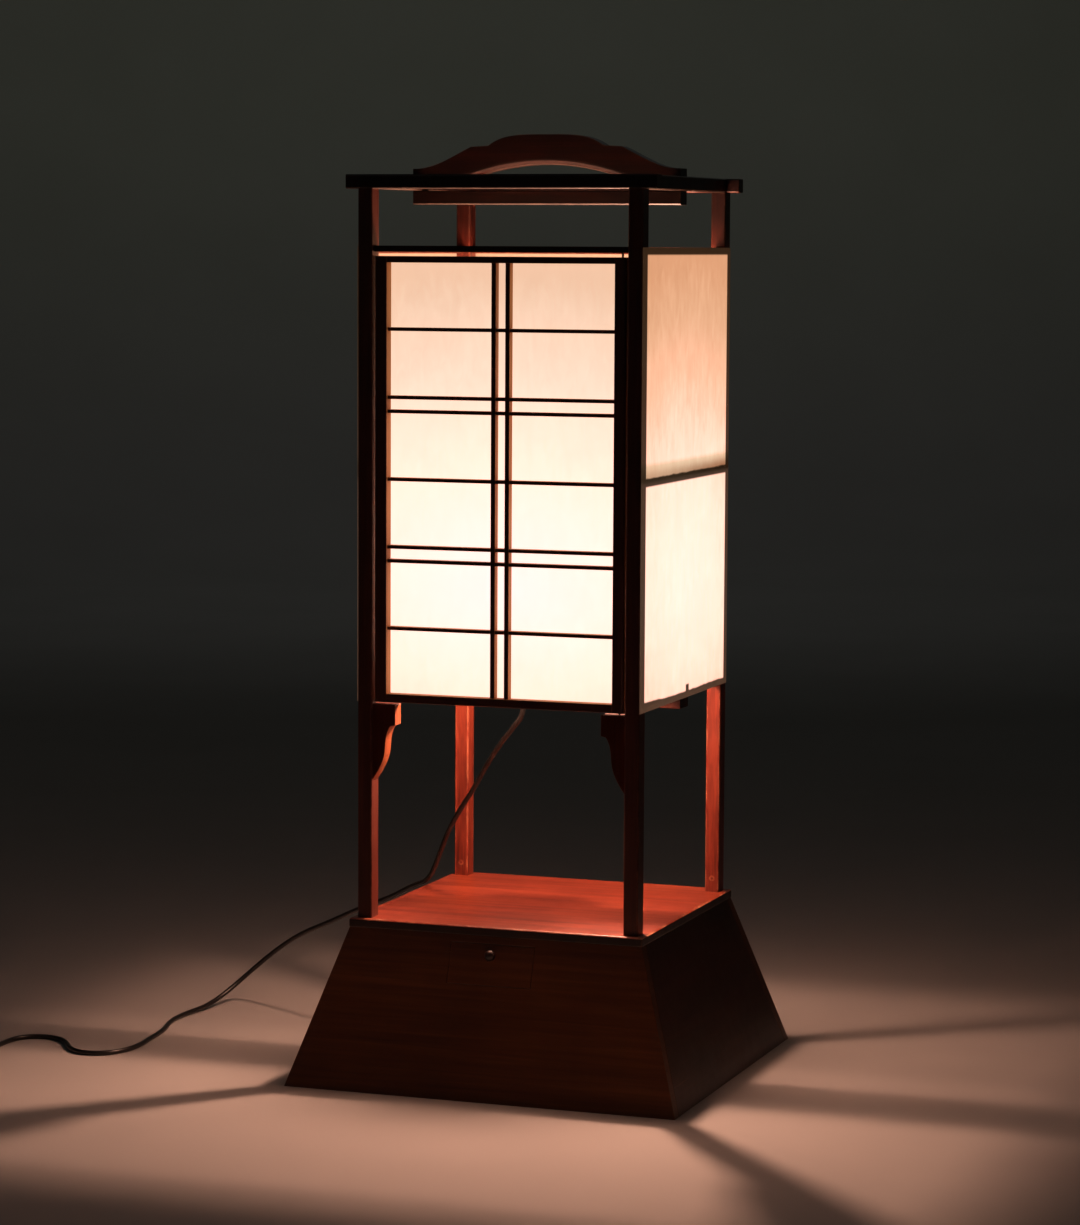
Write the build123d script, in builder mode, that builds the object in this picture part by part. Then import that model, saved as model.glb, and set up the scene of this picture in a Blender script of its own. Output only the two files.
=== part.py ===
from build123d import *
import math
import os

# Andon floor lamp: a tall wooden frame on a splayed drawer base, with a lattice door, papered sides,
# an arched carrying handle and an electric lampholder on a crossbar.
# Millimetres. X runs left to right, Y front to back, Z up from the floor. Origin: middle of the base.

os.makedirs("parts", exist_ok=True)

# Overall frame, outside faces of the posts
frame_width = 264.0
frame_depth = 258.0
post_width = 13.5
post_depth = 16.0
post_edge = 0.8
frame_top = 796.8

# Base
base_width = 366.0
base_depth = 356.0
base_wall = 12.0
slope_height = 140.0
slope_setback = 0.5
board_thickness = 8.0
board_overhang = 6.0
board_edge = 1.2
corner_block_size = 16.0
corner_block_drop = 4.0

# Drawer
drawer_width = 78.0
drawer_height = 34.5
drawer_top_margin = 7.0
drawer_length = 150.0
drawer_side_height = 28.0
drawer_side_wall = 6.0
drawer_bottom_thickness = 3.0
drawer_gap = 0.5
drawer_slide_gap = 0.3
knob_diameter = 10.0
knob_dome_radius = 3.5
knob_back_radius = 1.5
knob_neck_diameter = 5.0
knob_neck = 3.0
knob_length = 9.0
knob_spigot = 6.0
knob_drop = 8.5
runner_web = 8.0
runner_foot = 8.0
runner_side_gap = 0.6
stop_thickness = 8.0

# Rails between the posts
rail_thickness = 9.0
bottom_rail_level = 343.3
bottom_rail_height = 6.1
middle_rail_level = 539.8
middle_rail_height = 7.4
top_rail_level = 740.2
top_rail_height = 6.4
front_rail_level = 741.7
front_rail_height = 5.4
front_rail_depth = 8.0
front_rail_setback = 5.0

# Joinery
tenon_length = 5.0
tenon_thickness = 4.0
tenon_shoulder = 1.0
foot_tenon_width = 8.0
foot_tenon_depth = 10.0
head_tenon_width = 7.0
head_tenon_depth = 8.0
fit_gap = 0.1
peg_diameter = 4.0
peg_gap = 0.02
post_peg_rise = 12.5
post_peg_depth = 8.0

# Top frame, handle and batten
top_bar_height = 12.6
top_bar_width = 14.0
top_bar_overhang = 12.0
top_bar_edge = 1.0
handle_end_inset = 4.5
handle_thickness = 18.0
handle_end_height = 7.2
handle_height = 37.6
grip_opening_length = 134.0
grip_opening_height = 10.6
batten_height = 12.5
batten_edge = 1.0
handle_peg_inset = 4.2
handle_peg_cover = 1.0
# Cloud outline of the handle: share of its half length, share of its height
handle_steps = [
    (0.88, 0.234),
    (0.66, 0.545),
    (0.56, 0.713),
    (0.43, 0.734),
    (0.30, 0.941),
    (0.22, 0.984),
]

# Brackets under the door
bracket_width = 22.0
bracket_height = 68.5
bracket_end_height = 18.5
bracket_thickness = 14.0
bracket_step = 4.5
bracket_step_drop = 1.0
bracket_door_gap = 2.0
# S-curve of a bracket: share of its width from the post, share of its height from the foot
bracket_curve = [(0.58, 0.50), (0.54, 0.36), (0.28, 0.14)]

# Door
door_bottom = 343.0
door_top = 738.0
door_thickness = 11.0
door_recess = 2.5
door_side_gap = 1.7
stile_width = 11.0
door_top_rail_height = 5.7
door_bottom_rail_height = 7.3
hinge_stile_round = 3.0
door_edge = 0.5
lattice_depth = 8.0
upright_width = 4.2
upright_pitch = 13.0
bar_height = 3.2
bar_pair_pitch = 12.4
bar_groups = (1, 2, 1, 2, 1)
lattice_stub = 3.0
pin_diameter = 2.0
pin_running_gap = 0.06
pin_depth = 12.0
pin_end_gap = 0.3

# Paper
paper_thickness = 0.4
door_paper_margin = 5.0

# Crossbar, lampholder and bulb
crossbar_width = 24.0
crossbar_height = 8.7
crossbar_edge = 0.8
crossbar_peg_offset = 8.0
crossbar_peg_rise = 9.0
nipple_diameter = 10.0
nipple_bore = 6.5
nut_across_flats = 16.0
nut_thickness = 3.0
nipple_tail = 1.0
lamp_base_diameter = 58.0
lamp_base_thickness = 8.0
holder_diameter = 36.0
housing_height = 14.0
nipple_engagement = 6.0
skirt_diameter = 40.0
skirt_height = 24.0
skirt_flare = 3.0
holder_wall = 2.5
screw_shell_wall = 0.6
screw_shell_height = 21.5
key_level = 10.0
key_shaft_diameter = 3.0
key_bore_depth = 10.0
key_shaft_reach = 6.0
key_paddle_length = 12.0
key_paddle_height = 14.0
key_paddle_thickness = 3.0
key_running_gap = 0.05
bulb_diameter = 60.0
bulb_center_above_cap = 78.0
bulb_neck_diameter = 24.0
bulb_neck_length = 12.0
bulb_shoulder_angle = 50.0
bulb_glass_wall = 1.0
cap_diameter = 26.4
cap_length = 23.0
cap_clearance = 0.4
contact_diameter = 9.0
contact_height = 2.5
stem_diameter = 8.0
stem_height = 46.0
filament_width = 18.0
filament_diameter = 1.2

# Mains cord
cord_diameter = 4.6
bush_offset = -22.0
bush_top_diameter = 10.0
bush_waist_diameter = 7.0
bush_tip_diameter = 5.6
bush_tip_drop = 8.0
bush_rise = 6.0
coil_center = (-527.0, -180.0)
coil_mean_radius = 26.0
coil_width = 15.0
coil_height = 9.4
coil_corner = 3.0
floor_clearance = 0.1
plug_length = 30.0
plug_width = 22.0
plug_height = 15.0
plug_round = 4.0
plug_start = (-558.0, -148.0)
plug_pin_pitch = 12.7
plug_pin_length = 17.5
plug_pin_width = 6.4
plug_pin_thickness = 1.6

# Worked out from the sizes above
half_width = frame_width / 2
half_depth = frame_depth / 2
base_top = slope_height + board_thickness
board_half_x = half_width + board_overhang
board_half_y = half_depth + board_overhang
slope_top_x = board_half_x - slope_setback
slope_top_y = board_half_y - slope_setback
post_inner_x = half_width - post_width
post_inner_y = half_depth - post_depth
door_front = -half_depth + door_recess
door_back = door_front + door_thickness
door_left = -post_inner_x + door_side_gap
door_right = post_inner_x - door_side_gap
pin_x = door_right - stile_width / 2
pin_y = door_front + door_thickness / 2
opening_left = door_left + stile_width
opening_right = door_right - stile_width
opening_bottom = door_bottom + door_bottom_rail_height
opening_top = door_top - door_top_rail_height
front_rail_front = -half_depth + front_rail_setback
front_rail_top = front_rail_level + front_rail_height
bracket_front = -half_depth + (post_depth - bracket_thickness) / 2
bracket_top = door_bottom - bracket_door_gap
drawer_ceiling = slope_height - drawer_top_margin
drawer_floor_level = drawer_ceiling - drawer_height
knob_level = drawer_ceiling - knob_drop
handle_length = frame_width - 2 * handle_end_inset
crossbar_top = bottom_rail_level
crossbar_bottom = crossbar_top - crossbar_height
lamp_base_top = crossbar_top + lamp_base_thickness
housing_top = lamp_base_top + housing_height
holder_top = housing_top + skirt_height
cap_bottom = housing_top + contact_height
cap_top = cap_bottom + cap_length
bulb_center = cap_bottom + bulb_center_above_cap
key_axis_z = lamp_base_top + key_level
bush_tip = crossbar_bottom - bush_tip_drop
cord_level = cord_diameter / 2 + floor_clearance

rail_levels = {
    "bottom": (bottom_rail_level, bottom_rail_height),
    "middle": (middle_rail_level, middle_rail_height),
    "top": (top_rail_level, top_rail_height),
}


def write(builder, label):
    """Names a finished piece and writes it to its own STEP file."""
    builder.part.label = label
    export_step(builder.part, f"parts/{label}.step")


def block(x_range, y_range, z_range, mode=Mode.ADD):
    """Adds a box between two opposite corners to the piece that is being built."""
    ranges = (x_range, y_range, z_range)
    middle = tuple((low + high) / 2 for low, high in ranges)
    with Locations(middle):
        Box(*(high - low for low, high in ranges), mode=mode)


def slope_x(level, inset=0.0):
    """Half width of the sloped base at a level, measured to a plane set in from the outside."""
    return base_width / 2 - (base_width / 2 - slope_top_x) * level / slope_height - inset


def slope_y(level, inset=0.0):
    """Half depth of the sloped base at a level, measured to a plane set in from the outside."""
    return base_depth / 2 - (base_depth / 2 - slope_top_y) * level / slope_height - inset


# ------------------------------------------------------------------ base: four sloped boards
for name, side in (("base_front", -1), ("base_back", 1)):
    with BuildPart() as sloped_board:
        with BuildSketch(Plane.YZ) as board_profile:
            Polygon(
                (side * slope_y(0), 0),
                (side * slope_y(0, base_wall), 0),
                (side * slope_y(slope_height, base_wall), slope_height),
                (side * slope_y(slope_height), slope_height),
                align=None,
            )
        extrude(amount=base_width / 2, both=True)
        with BuildSketch(Plane.XZ) as end_profile:
            Polygon(
                (-slope_x(0), 0),
                (slope_x(0), 0),
                (slope_x(slope_height), slope_height),
                (-slope_x(slope_height), slope_height),
                align=None,
            )
        extrude(amount=base_depth, both=True, mode=Mode.INTERSECT)
        if side < 0:
            block(
                (-drawer_width / 2 - drawer_gap, drawer_width / 2 + drawer_gap),
                (-base_depth, 0),
                (drawer_floor_level - drawer_gap, drawer_ceiling + drawer_gap),
                mode=Mode.SUBTRACT,
            )
    write(sloped_board, name)

for name, side in (("base_left", -1), ("base_right", 1)):
    with BuildPart() as sloped_board:
        with BuildSketch(Plane.XZ) as board_profile:
            Polygon(
                (side * slope_x(0), 0),
                (side * slope_x(0, base_wall), 0),
                (side * slope_x(slope_height, base_wall), slope_height),
                (side * slope_x(slope_height), slope_height),
                align=None,
            )
        extrude(amount=base_depth / 2, both=True)
        with BuildSketch(Plane.YZ) as end_profile:
            Polygon(
                (-slope_y(0, base_wall), 0),
                (slope_y(0, base_wall), 0),
                (slope_y(slope_height, base_wall), slope_height),
                (-slope_y(slope_height, base_wall), slope_height),
                align=None,
            )
        extrude(amount=base_width, both=True, mode=Mode.INTERSECT)
    write(sloped_board, name)

# Glue blocks lean with the four inner corners.
block_top = slope_height - corner_block_drop
with BuildPart() as base_corner_blocks:
    for x_side in (-1, 1):
        for y_side in (-1, 1):
            for level in (corner_block_drop, block_top):
                corner_x = slope_x(level, base_wall + corner_block_size / 2)
                corner_y = slope_y(level, base_wall + corner_block_size / 2)
                with BuildSketch(Plane.XY.offset(level)):
                    with Locations((x_side * corner_x, y_side * corner_y)):
                        Rectangle(corner_block_size, corner_block_size)
            loft()
write(base_corner_blocks, "base_corner_blocks")

post_centers = [
    (x_side * (half_width - post_width / 2), y_side * (half_depth - post_depth / 2))
    for x_side in (-1, 1)
    for y_side in (-1, 1)
]

with BuildPart() as base_top_board:
    block((-board_half_x, board_half_x), (-board_half_y, board_half_y), (slope_height, base_top))
    chamfer(base_top_board.faces().sort_by(Axis.Z)[-1].edges(), board_edge)
    with BuildSketch(Plane.XY.offset(slope_height)):
        with Locations(*post_centers):
            Rectangle(foot_tenon_width + 2 * fit_gap, foot_tenon_depth + 2 * fit_gap)
    extrude(amount=board_thickness, mode=Mode.SUBTRACT)
write(base_top_board, "base_top_board")

# ------------------------------------------------------------------ drawer and its runners
drawer_half = drawer_width / 2
side_top = drawer_floor_level + drawer_side_height
drawer_back_y = -slope_y(drawer_floor_level) + drawer_length
knob_y = -slope_y(knob_level)

with BuildPart() as drawer_front:
    with BuildSketch(Plane.YZ):
        Polygon(
            (-slope_y(drawer_floor_level), drawer_floor_level),
            (-slope_y(drawer_floor_level, base_wall), drawer_floor_level),
            (-slope_y(drawer_ceiling, base_wall), drawer_ceiling),
            (-slope_y(drawer_ceiling), drawer_ceiling),
            align=None,
        )
    extrude(amount=drawer_half, both=True)
    with Locations(Plane(origin=(0, knob_y, knob_level), z_dir=(0, 1, 0))):
        Cylinder(
            knob_neck_diameter / 2 + peg_gap,
            2 * (knob_spigot + fit_gap),
            mode=Mode.SUBTRACT,
        )
write(drawer_front, "drawer_front")

with BuildPart() as drawer_sides:
    for side in (-1, 1):
        outer = side * drawer_half
        inner = side * (drawer_half - drawer_side_wall)
        with BuildSketch(Plane.YZ.offset(min(outer, inner))):
            Polygon(
                (-slope_y(drawer_floor_level, base_wall), drawer_floor_level),
                (drawer_back_y, drawer_floor_level),
                (drawer_back_y, side_top),
                (-slope_y(side_top, base_wall), side_top),
                align=None,
            )
        extrude(amount=drawer_side_wall)
write(drawer_sides, "drawer_sides")

tray_half = drawer_half - drawer_side_wall
bottom_top = drawer_floor_level + drawer_bottom_thickness
with BuildPart() as drawer_bottom:
    with BuildSketch(Plane.YZ):
        Polygon(
            (-slope_y(drawer_floor_level, base_wall), drawer_floor_level),
            (drawer_back_y, drawer_floor_level),
            (drawer_back_y, bottom_top),
            (-slope_y(bottom_top, base_wall), bottom_top),
            align=None,
        )
    extrude(amount=tray_half, both=True)
write(drawer_bottom, "drawer_bottom")

with BuildPart() as drawer_back:
    block(
        (-tray_half, tray_half),
        (drawer_back_y - drawer_side_wall, drawer_back_y),
        (bottom_top, side_top),
    )
write(drawer_back, "drawer_back")

# A turned knob: spigot in the drawer front, neck, and a domed head.
with BuildPart() as drawer_knob:
    with Locations(Plane(origin=(0, knob_y - knob_length, knob_level), z_dir=(0, 1, 0))):
        Cylinder(
            knob_diameter / 2,
            knob_length - knob_neck,
            align=(Align.CENTER, Align.CENTER, Align.MIN),
        )
    head_edges = drawer_knob.edges().filter_by(GeomType.CIRCLE).sort_by(Axis.Y)
    fillet(head_edges[0], knob_dome_radius)
    fillet(head_edges[-1], knob_back_radius)
    with Locations(Plane(origin=(0, knob_y - knob_neck, knob_level), z_dir=(0, 1, 0))):
        Cylinder(
            knob_neck_diameter / 2,
            knob_neck + knob_spigot,
            align=(Align.CENTER, Align.CENTER, Align.MIN),
        )
write(drawer_knob, "drawer_knob")

runner_top = drawer_floor_level - drawer_slide_gap
runner_front = -slope_y(slope_height, base_wall)
runner_back = drawer_back_y + drawer_slide_gap
runner_inner = drawer_half + runner_side_gap
with BuildPart() as drawer_runners:
    for side in (-1, 1):
        with BuildSketch(Plane.XZ.offset(-runner_front)):
            Polygon(
                (side * (runner_inner - runner_foot), runner_top),
                (side * runner_inner, runner_top),
                (side * runner_inner, slope_height),
                (side * (runner_inner + runner_web), slope_height),
                (side * (runner_inner + runner_web), runner_top - runner_foot),
                (side * (runner_inner - runner_foot), runner_top - runner_foot),
                align=None,
            )
        extrude(amount=-(runner_back - runner_front))
    # The stop strip behind the closed drawer hangs from the top board, just clear of the runners.
    block(
        (-runner_inner - runner_web, runner_inner + runner_web),
        (runner_back + fit_gap, runner_back + fit_gap + stop_thickness),
        (runner_top - runner_foot, slope_height),
    )
write(drawer_runners, "drawer_runners")

# ------------------------------------------------------------------ rails with stub tenons
side_tenon_x = half_width - rail_thickness / 2
back_tenon_y = half_depth - rail_thickness / 2
front_rail_middle = front_rail_front + front_rail_depth / 2

for level_name, (level, height) in rail_levels.items():
    tenon_levels = (level + tenon_shoulder, level + height - tenon_shoulder)
    for name, side in (("left", -1), ("right", 1)):
        with BuildPart() as side_rail:
            faces_x = sorted((side * half_width, side * (half_width - rail_thickness)))
            block(faces_x, (-post_inner_y, post_inner_y), (level, level + height))
            block(
                (side * side_tenon_x - tenon_thickness / 2, side * side_tenon_x + tenon_thickness / 2),
                (-post_inner_y - tenon_length, post_inner_y + tenon_length),
                tenon_levels,
            )
            if level_name == "bottom":
                with Locations((side * side_tenon_x, crossbar_peg_offset, level)):
                    Cylinder(peg_diameter / 2 + peg_gap, 3 * height, mode=Mode.SUBTRACT)
        write(side_rail, f"{name}_{level_name}_rail")
    with BuildPart() as back_rail:
        block(
            (-post_inner_x, post_inner_x),
            (half_depth - rail_thickness, half_depth),
            (level, level + height),
        )
        block(
            (-post_inner_x - tenon_length, post_inner_x + tenon_length),
            (back_tenon_y - tenon_thickness / 2, back_tenon_y + tenon_thickness / 2),
            tenon_levels,
        )
    write(back_rail, f"back_{level_name}_rail")

with BuildPart() as front_rail:
    block(
        (-post_inner_x, post_inner_x),
        (front_rail_front, front_rail_front + front_rail_depth),
        (front_rail_level, front_rail_top),
    )
    block(
        (-post_inner_x - tenon_length, post_inner_x + tenon_length),
        (front_rail_middle - tenon_thickness / 2, front_rail_middle + tenon_thickness / 2),
        (front_rail_level + tenon_shoulder, front_rail_top - tenon_shoulder),
    )
    with Locations((pin_x, pin_y, front_rail_level)):
        Cylinder(pin_diameter / 2 + peg_gap, 3 * front_rail_height, mode=Mode.SUBTRACT)
write(front_rail, "front_rail")

# ------------------------------------------------------------------ posts with their mortises
pocket_depth = tenon_length + fit_gap
post_peg_level = base_top + post_peg_rise

for x_name, x_side in (("left", -1), ("right", 1)):
    for y_name, y_side in (("front", -1), ("back", 1)):
        center_x = x_side * (half_width - post_width / 2)
        center_y = y_side * (half_depth - post_depth / 2)
        with BuildPart() as post:
            with Locations((center_x, center_y, (base_top + frame_top) / 2)):
                Box(post_width, post_depth, frame_top - base_top)
            chamfer(post.edges().filter_by(Axis.Z), post_edge)
            with Locations((center_x, center_y, base_top)):
                Box(
                    foot_tenon_width,
                    foot_tenon_depth,
                    board_thickness,
                    align=(Align.CENTER, Align.CENTER, Align.MAX),
                )
            with Locations((center_x, center_y, frame_top)):
                Box(
                    head_tenon_width,
                    head_tenon_depth,
                    top_bar_height,
                    align=(Align.CENTER, Align.CENTER, Align.MIN),
                )
            for level, height in rail_levels.values():
                pocket_levels = (
                    level + tenon_shoulder - fit_gap,
                    level + height - tenon_shoulder + fit_gap,
                )
                block(
                    (
                        x_side * side_tenon_x - tenon_thickness / 2 - fit_gap,
                        x_side * side_tenon_x + tenon_thickness / 2 + fit_gap,
                    ),
                    sorted((y_side * post_inner_y, y_side * (post_inner_y + pocket_depth))),
                    pocket_levels,
                    mode=Mode.SUBTRACT,
                )
                if y_name == "back":
                    block(
                        sorted((x_side * post_inner_x, x_side * (post_inner_x + pocket_depth))),
                        (
                            back_tenon_y - tenon_thickness / 2 - fit_gap,
                            back_tenon_y + tenon_thickness / 2 + fit_gap,
                        ),
                        pocket_levels,
                        mode=Mode.SUBTRACT,
                    )
            if y_name == "front":
                block(
                    sorted((x_side * post_inner_x, x_side * (post_inner_x + pocket_depth))),
                    (
                        front_rail_middle - tenon_thickness / 2 - fit_gap,
                        front_rail_middle + tenon_thickness / 2 + fit_gap,
                    ),
                    (
                        front_rail_level + tenon_shoulder - fit_gap,
                        front_rail_top - tenon_shoulder + fit_gap,
                    ),
                    mode=Mode.SUBTRACT,
                )
            peg_hole = Plane(origin=(center_x, y_side * post_inner_y, post_peg_level), z_dir=(0, 1, 0))
            with Locations(peg_hole):
                Cylinder(peg_diameter / 2 + peg_gap, 2 * (post_peg_depth + fit_gap), mode=Mode.SUBTRACT)
        write(post, f"{x_name}_{y_name}_post")

# ------------------------------------------------------------------ top frame
head_mortise = (head_tenon_width + 2 * fit_gap, head_tenon_depth + 2 * fit_gap)
bar_half = half_width + top_bar_overhang
bar_inner_y = half_depth - top_bar_width
handle_peg_x = handle_length / 2 - handle_peg_inset

for name, side in (("top_bar_front", -1), ("top_bar_back", 1)):
    with BuildPart() as cross_bar:
        block(
            (-bar_half, bar_half),
            sorted((side * half_depth, side * bar_inner_y)),
            (frame_top, frame_top + top_bar_height),
        )
        chamfer(cross_bar.edges().filter_by(Axis.X), top_bar_edge)
        with BuildSketch(Plane.XY.offset(frame_top)):
            with Locations(*[(x, y) for x, y in post_centers if y * side > 0]):
                Rectangle(*head_mortise)
        extrude(amount=top_bar_height, mode=Mode.SUBTRACT)
    write(cross_bar, name)

for name, side in (("top_bar_left", -1), ("top_bar_right", 1)):
    with BuildPart() as side_bar:
        block(
            sorted((side * half_width, side * post_inner_x)),
            (-bar_inner_y, bar_inner_y),
            (frame_top, frame_top + top_bar_height),
        )
        chamfer(side_bar.edges().filter_by(Axis.Y), top_bar_edge)
        with Locations((side * handle_peg_x, 0, frame_top)):
            Cylinder(peg_diameter / 2 + peg_gap, 3 * top_bar_height, mode=Mode.SUBTRACT)
    write(side_bar, name)

# Handle: a stepped cloud outline over a low arched finger opening, in one board on edge.
handle_foot = frame_top + top_bar_height
half_handle = handle_length / 2
handle_crown = handle_foot + handle_height

with BuildPart() as handle:
    with BuildSketch(Plane.XZ) as handle_outline:
        with BuildLine():
            right_side = [
                (half_handle * length_share, handle_foot + handle_height * height_share)
                for length_share, height_share in handle_steps
            ]
            left_side = [(-x, z) for x, z in reversed(right_side)]
            Line((-half_handle, handle_foot), (half_handle, handle_foot))
            Line((half_handle, handle_foot), (half_handle, handle_foot + handle_end_height))
            Spline((half_handle, handle_foot + handle_end_height), *right_side[:3])
            Line(right_side[2], right_side[3])
            Spline(right_side[3], *right_side[4:], (0, handle_crown), *left_side[:2], left_side[2])
            Line(left_side[2], left_side[3])
            Spline(*left_side[3:], (-half_handle, handle_foot + handle_end_height))
            Line((-half_handle, handle_foot + handle_end_height), (-half_handle, handle_foot))
        make_face()
    extrude(amount=handle_thickness / 2, both=True)
    with BuildSketch(Plane.XZ) as grip_opening:
        with BuildLine():
            ThreePointArc(
                (-grip_opening_length / 2, handle_foot),
                (0, handle_foot + grip_opening_height),
                (grip_opening_length / 2, handle_foot),
            )
            Line((grip_opening_length / 2, handle_foot), (-grip_opening_length / 2, handle_foot))
        make_face()
    extrude(amount=handle_thickness, both=True, mode=Mode.SUBTRACT)
    for side in (-1, 1):
        with Locations((side * handle_peg_x, 0, handle_foot)):
            Cylinder(peg_diameter / 2 + peg_gap, 3 * handle_end_height, mode=Mode.SUBTRACT)
write(handle, "handle")

with BuildPart() as handle_batten:
    block(
        (-half_handle, half_handle),
        (-handle_thickness / 2, handle_thickness / 2),
        (frame_top - batten_height, frame_top),
    )
    chamfer(handle_batten.edges().filter_by(Axis.X), batten_edge)
    for side in (-1, 1):
        with Locations((side * handle_peg_x, 0, frame_top)):
            Cylinder(peg_diameter / 2 + peg_gap, 3 * batten_height, mode=Mode.SUBTRACT)
write(handle_batten, "handle_batten")

# ------------------------------------------------------------------ brackets under the door
bracket_foot = bracket_top - bracket_height
for name, side in (("left_bracket", -1), ("right_bracket", 1)):
    with BuildPart() as bracket:
        with BuildSketch(Plane.XZ.offset(-bracket_front)):
            with BuildLine():
                face_x = side * post_inner_x
                tip_x = side * (post_inner_x - bracket_width)
                step_x = side * (post_inner_x - bracket_width + bracket_step)
                step_z = bracket_top - bracket_end_height
                curve_points = [
                    (side * (post_inner_x - across * bracket_width), bracket_foot + up * bracket_height)
                    for across, up in bracket_curve
                ]
                Polyline(
                    (face_x, bracket_foot),
                    (face_x, bracket_top),
                    (tip_x, bracket_top),
                    (tip_x, step_z),
                    (step_x, step_z - bracket_step_drop),
                )
                Spline((step_x, step_z - bracket_step_drop), *curve_points, (face_x, bracket_foot))
            make_face()
        extrude(amount=-bracket_thickness)
        if side > 0:
            with Locations((pin_x, pin_y, bracket_top)):
                Cylinder(pin_diameter / 2 + peg_gap, 2 * (pin_depth + fit_gap), mode=Mode.SUBTRACT)
    write(bracket, name)

# ------------------------------------------------------------------ door
lattice_back = door_back
lattice_front = door_back - lattice_depth
lap_depth = lattice_depth / 2
door_middle = (opening_left + opening_right) / 2
upright_centers = [door_middle - upright_pitch / 2, door_middle + upright_pitch / 2]

# Bars in the order single, pair, single, pair, single, with equal rows of paper between the groups.
bar_count = sum(bar_groups)
pair_gap = bar_pair_pitch - bar_height
pair_gaps = (bar_count - len(bar_groups)) * pair_gap
free_height = opening_top - opening_bottom - bar_count * bar_height - pair_gaps
cell_height = free_height / (len(bar_groups) + 1)
bar_levels = []
bar_level = opening_bottom
for group in bar_groups:
    bar_level += cell_height
    for bar in range(group):
        bar_levels.append(bar_level)
        bar_level += bar_height + (pair_gap if bar < group - 1 else 0)

lattice_ranges = (lattice_front, lattice_back)
stub_y = (lattice_front - fit_gap, lattice_back)

for name, left, right in (
    ("door_left_stile", door_left, opening_left),
    ("door_right_stile", opening_right, door_right),
):
    is_hinge = name == "door_right_stile"
    with BuildPart() as stile:
        block((left, right), (door_front, door_back), (door_bottom, door_top))
        front_edges = stile.faces().sort_by(Axis.Y)[0].edges().filter_by(Axis.Z).sort_by(Axis.X)
        if is_hinge:
            fillet(front_edges[-1], hinge_stile_round)
        else:
            chamfer(front_edges, door_edge)
        inner = opening_right if is_hinge else opening_left
        reach = 1 if is_hinge else -1
        for level in bar_levels:
            block(
                sorted((inner, inner + reach * (lattice_stub + fit_gap))),
                stub_y,
                (level - fit_gap, level + bar_height + fit_gap),
                mode=Mode.SUBTRACT,
            )
        for level, height in (
            (door_bottom, door_bottom_rail_height),
            (opening_top, door_top_rail_height),
        ):
            block(
                sorted((inner, inner + reach * (lattice_stub + fit_gap))),
                (pin_y - tenon_thickness / 2 - fit_gap, pin_y + tenon_thickness / 2 + fit_gap),
                (level + tenon_shoulder - fit_gap, level + height - tenon_shoulder + fit_gap),
                mode=Mode.SUBTRACT,
            )
        if is_hinge:
            for level in (door_bottom, door_top):
                with Locations((pin_x, pin_y, level)):
                    Cylinder(
                        pin_diameter / 2 + pin_running_gap,
                        2 * (pin_depth + pin_end_gap),
                        mode=Mode.SUBTRACT,
                    )
    write(stile, name)

for name, level, height in (
    ("door_bottom_rail", door_bottom, door_bottom_rail_height),
    ("door_top_rail", opening_top, door_top_rail_height),
):
    inner_face = level + height if name == "door_bottom_rail" else level
    reach = -1 if name == "door_bottom_rail" else 1
    with BuildPart() as rail:
        block((opening_left, opening_right), (door_front, door_back), (level, level + height))
        block(
            (opening_left - lattice_stub, opening_right + lattice_stub),
            (pin_y - tenon_thickness / 2, pin_y + tenon_thickness / 2),
            (level + tenon_shoulder, level + height - tenon_shoulder),
        )
        for center in upright_centers:
            block(
                (center - upright_width / 2 - fit_gap, center + upright_width / 2 + fit_gap),
                stub_y,
                sorted((inner_face, inner_face + reach * (lattice_stub + fit_gap))),
                mode=Mode.SUBTRACT,
            )
    write(rail, name)

# Half-lapped lattice: the bars lose their front half at a crossing, the uprights their back half.
with BuildPart() as door_lattice_bars:
    for level in bar_levels:
        block(
            (opening_left - lattice_stub, opening_right + lattice_stub),
            lattice_ranges,
            (level, level + bar_height),
        )
        for center in upright_centers:
            block(
                (center - upright_width / 2 - fit_gap, center + upright_width / 2 + fit_gap),
                (lattice_front, lattice_front + lap_depth + fit_gap),
                (level, level + bar_height),
                mode=Mode.SUBTRACT,
            )
write(door_lattice_bars, "door_lattice_bars")

with BuildPart() as door_lattice_uprights:
    for center in upright_centers:
        block(
            (center - upright_width / 2, center + upright_width / 2),
            lattice_ranges,
            (opening_bottom - lattice_stub, opening_top + lattice_stub),
        )
        for level in bar_levels:
            block(
                (center - upright_width / 2, center + upright_width / 2),
                (lattice_front + lap_depth, lattice_back),
                (level - fit_gap, level + bar_height + fit_gap),
                mode=Mode.SUBTRACT,
            )
write(door_lattice_uprights, "door_lattice_uprights")

with BuildPart() as door_paper:
    block(
        (opening_left - door_paper_margin, opening_right + door_paper_margin),
        (door_back, door_back + paper_thickness),
        (opening_bottom - door_paper_margin, opening_top + door_paper_margin),
    )
write(door_paper, "door_paper")

with BuildPart() as door_pins:
    lower_pin = (bracket_top - pin_depth, door_bottom + pin_depth)
    upper_pin = (door_top - pin_depth, front_rail_top)
    for low, high in (lower_pin, upper_pin):
        with Locations((pin_x, pin_y, low)):
            Cylinder(pin_diameter / 2, high - low, align=(Align.CENTER, Align.CENTER, Align.MIN))
write(door_pins, "door_pins")

# ------------------------------------------------------------------ papers on three sides
paper_bottom = bottom_rail_level
paper_top = top_rail_level + top_rail_height
for name, side in (("left_paper", -1), ("right_paper", 1)):
    with BuildPart() as side_paper:
        block(
            sorted((side * half_width, side * (half_width + paper_thickness))),
            (-half_depth, half_depth),
            (paper_bottom, paper_top),
        )
    write(side_paper, name)

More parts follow.
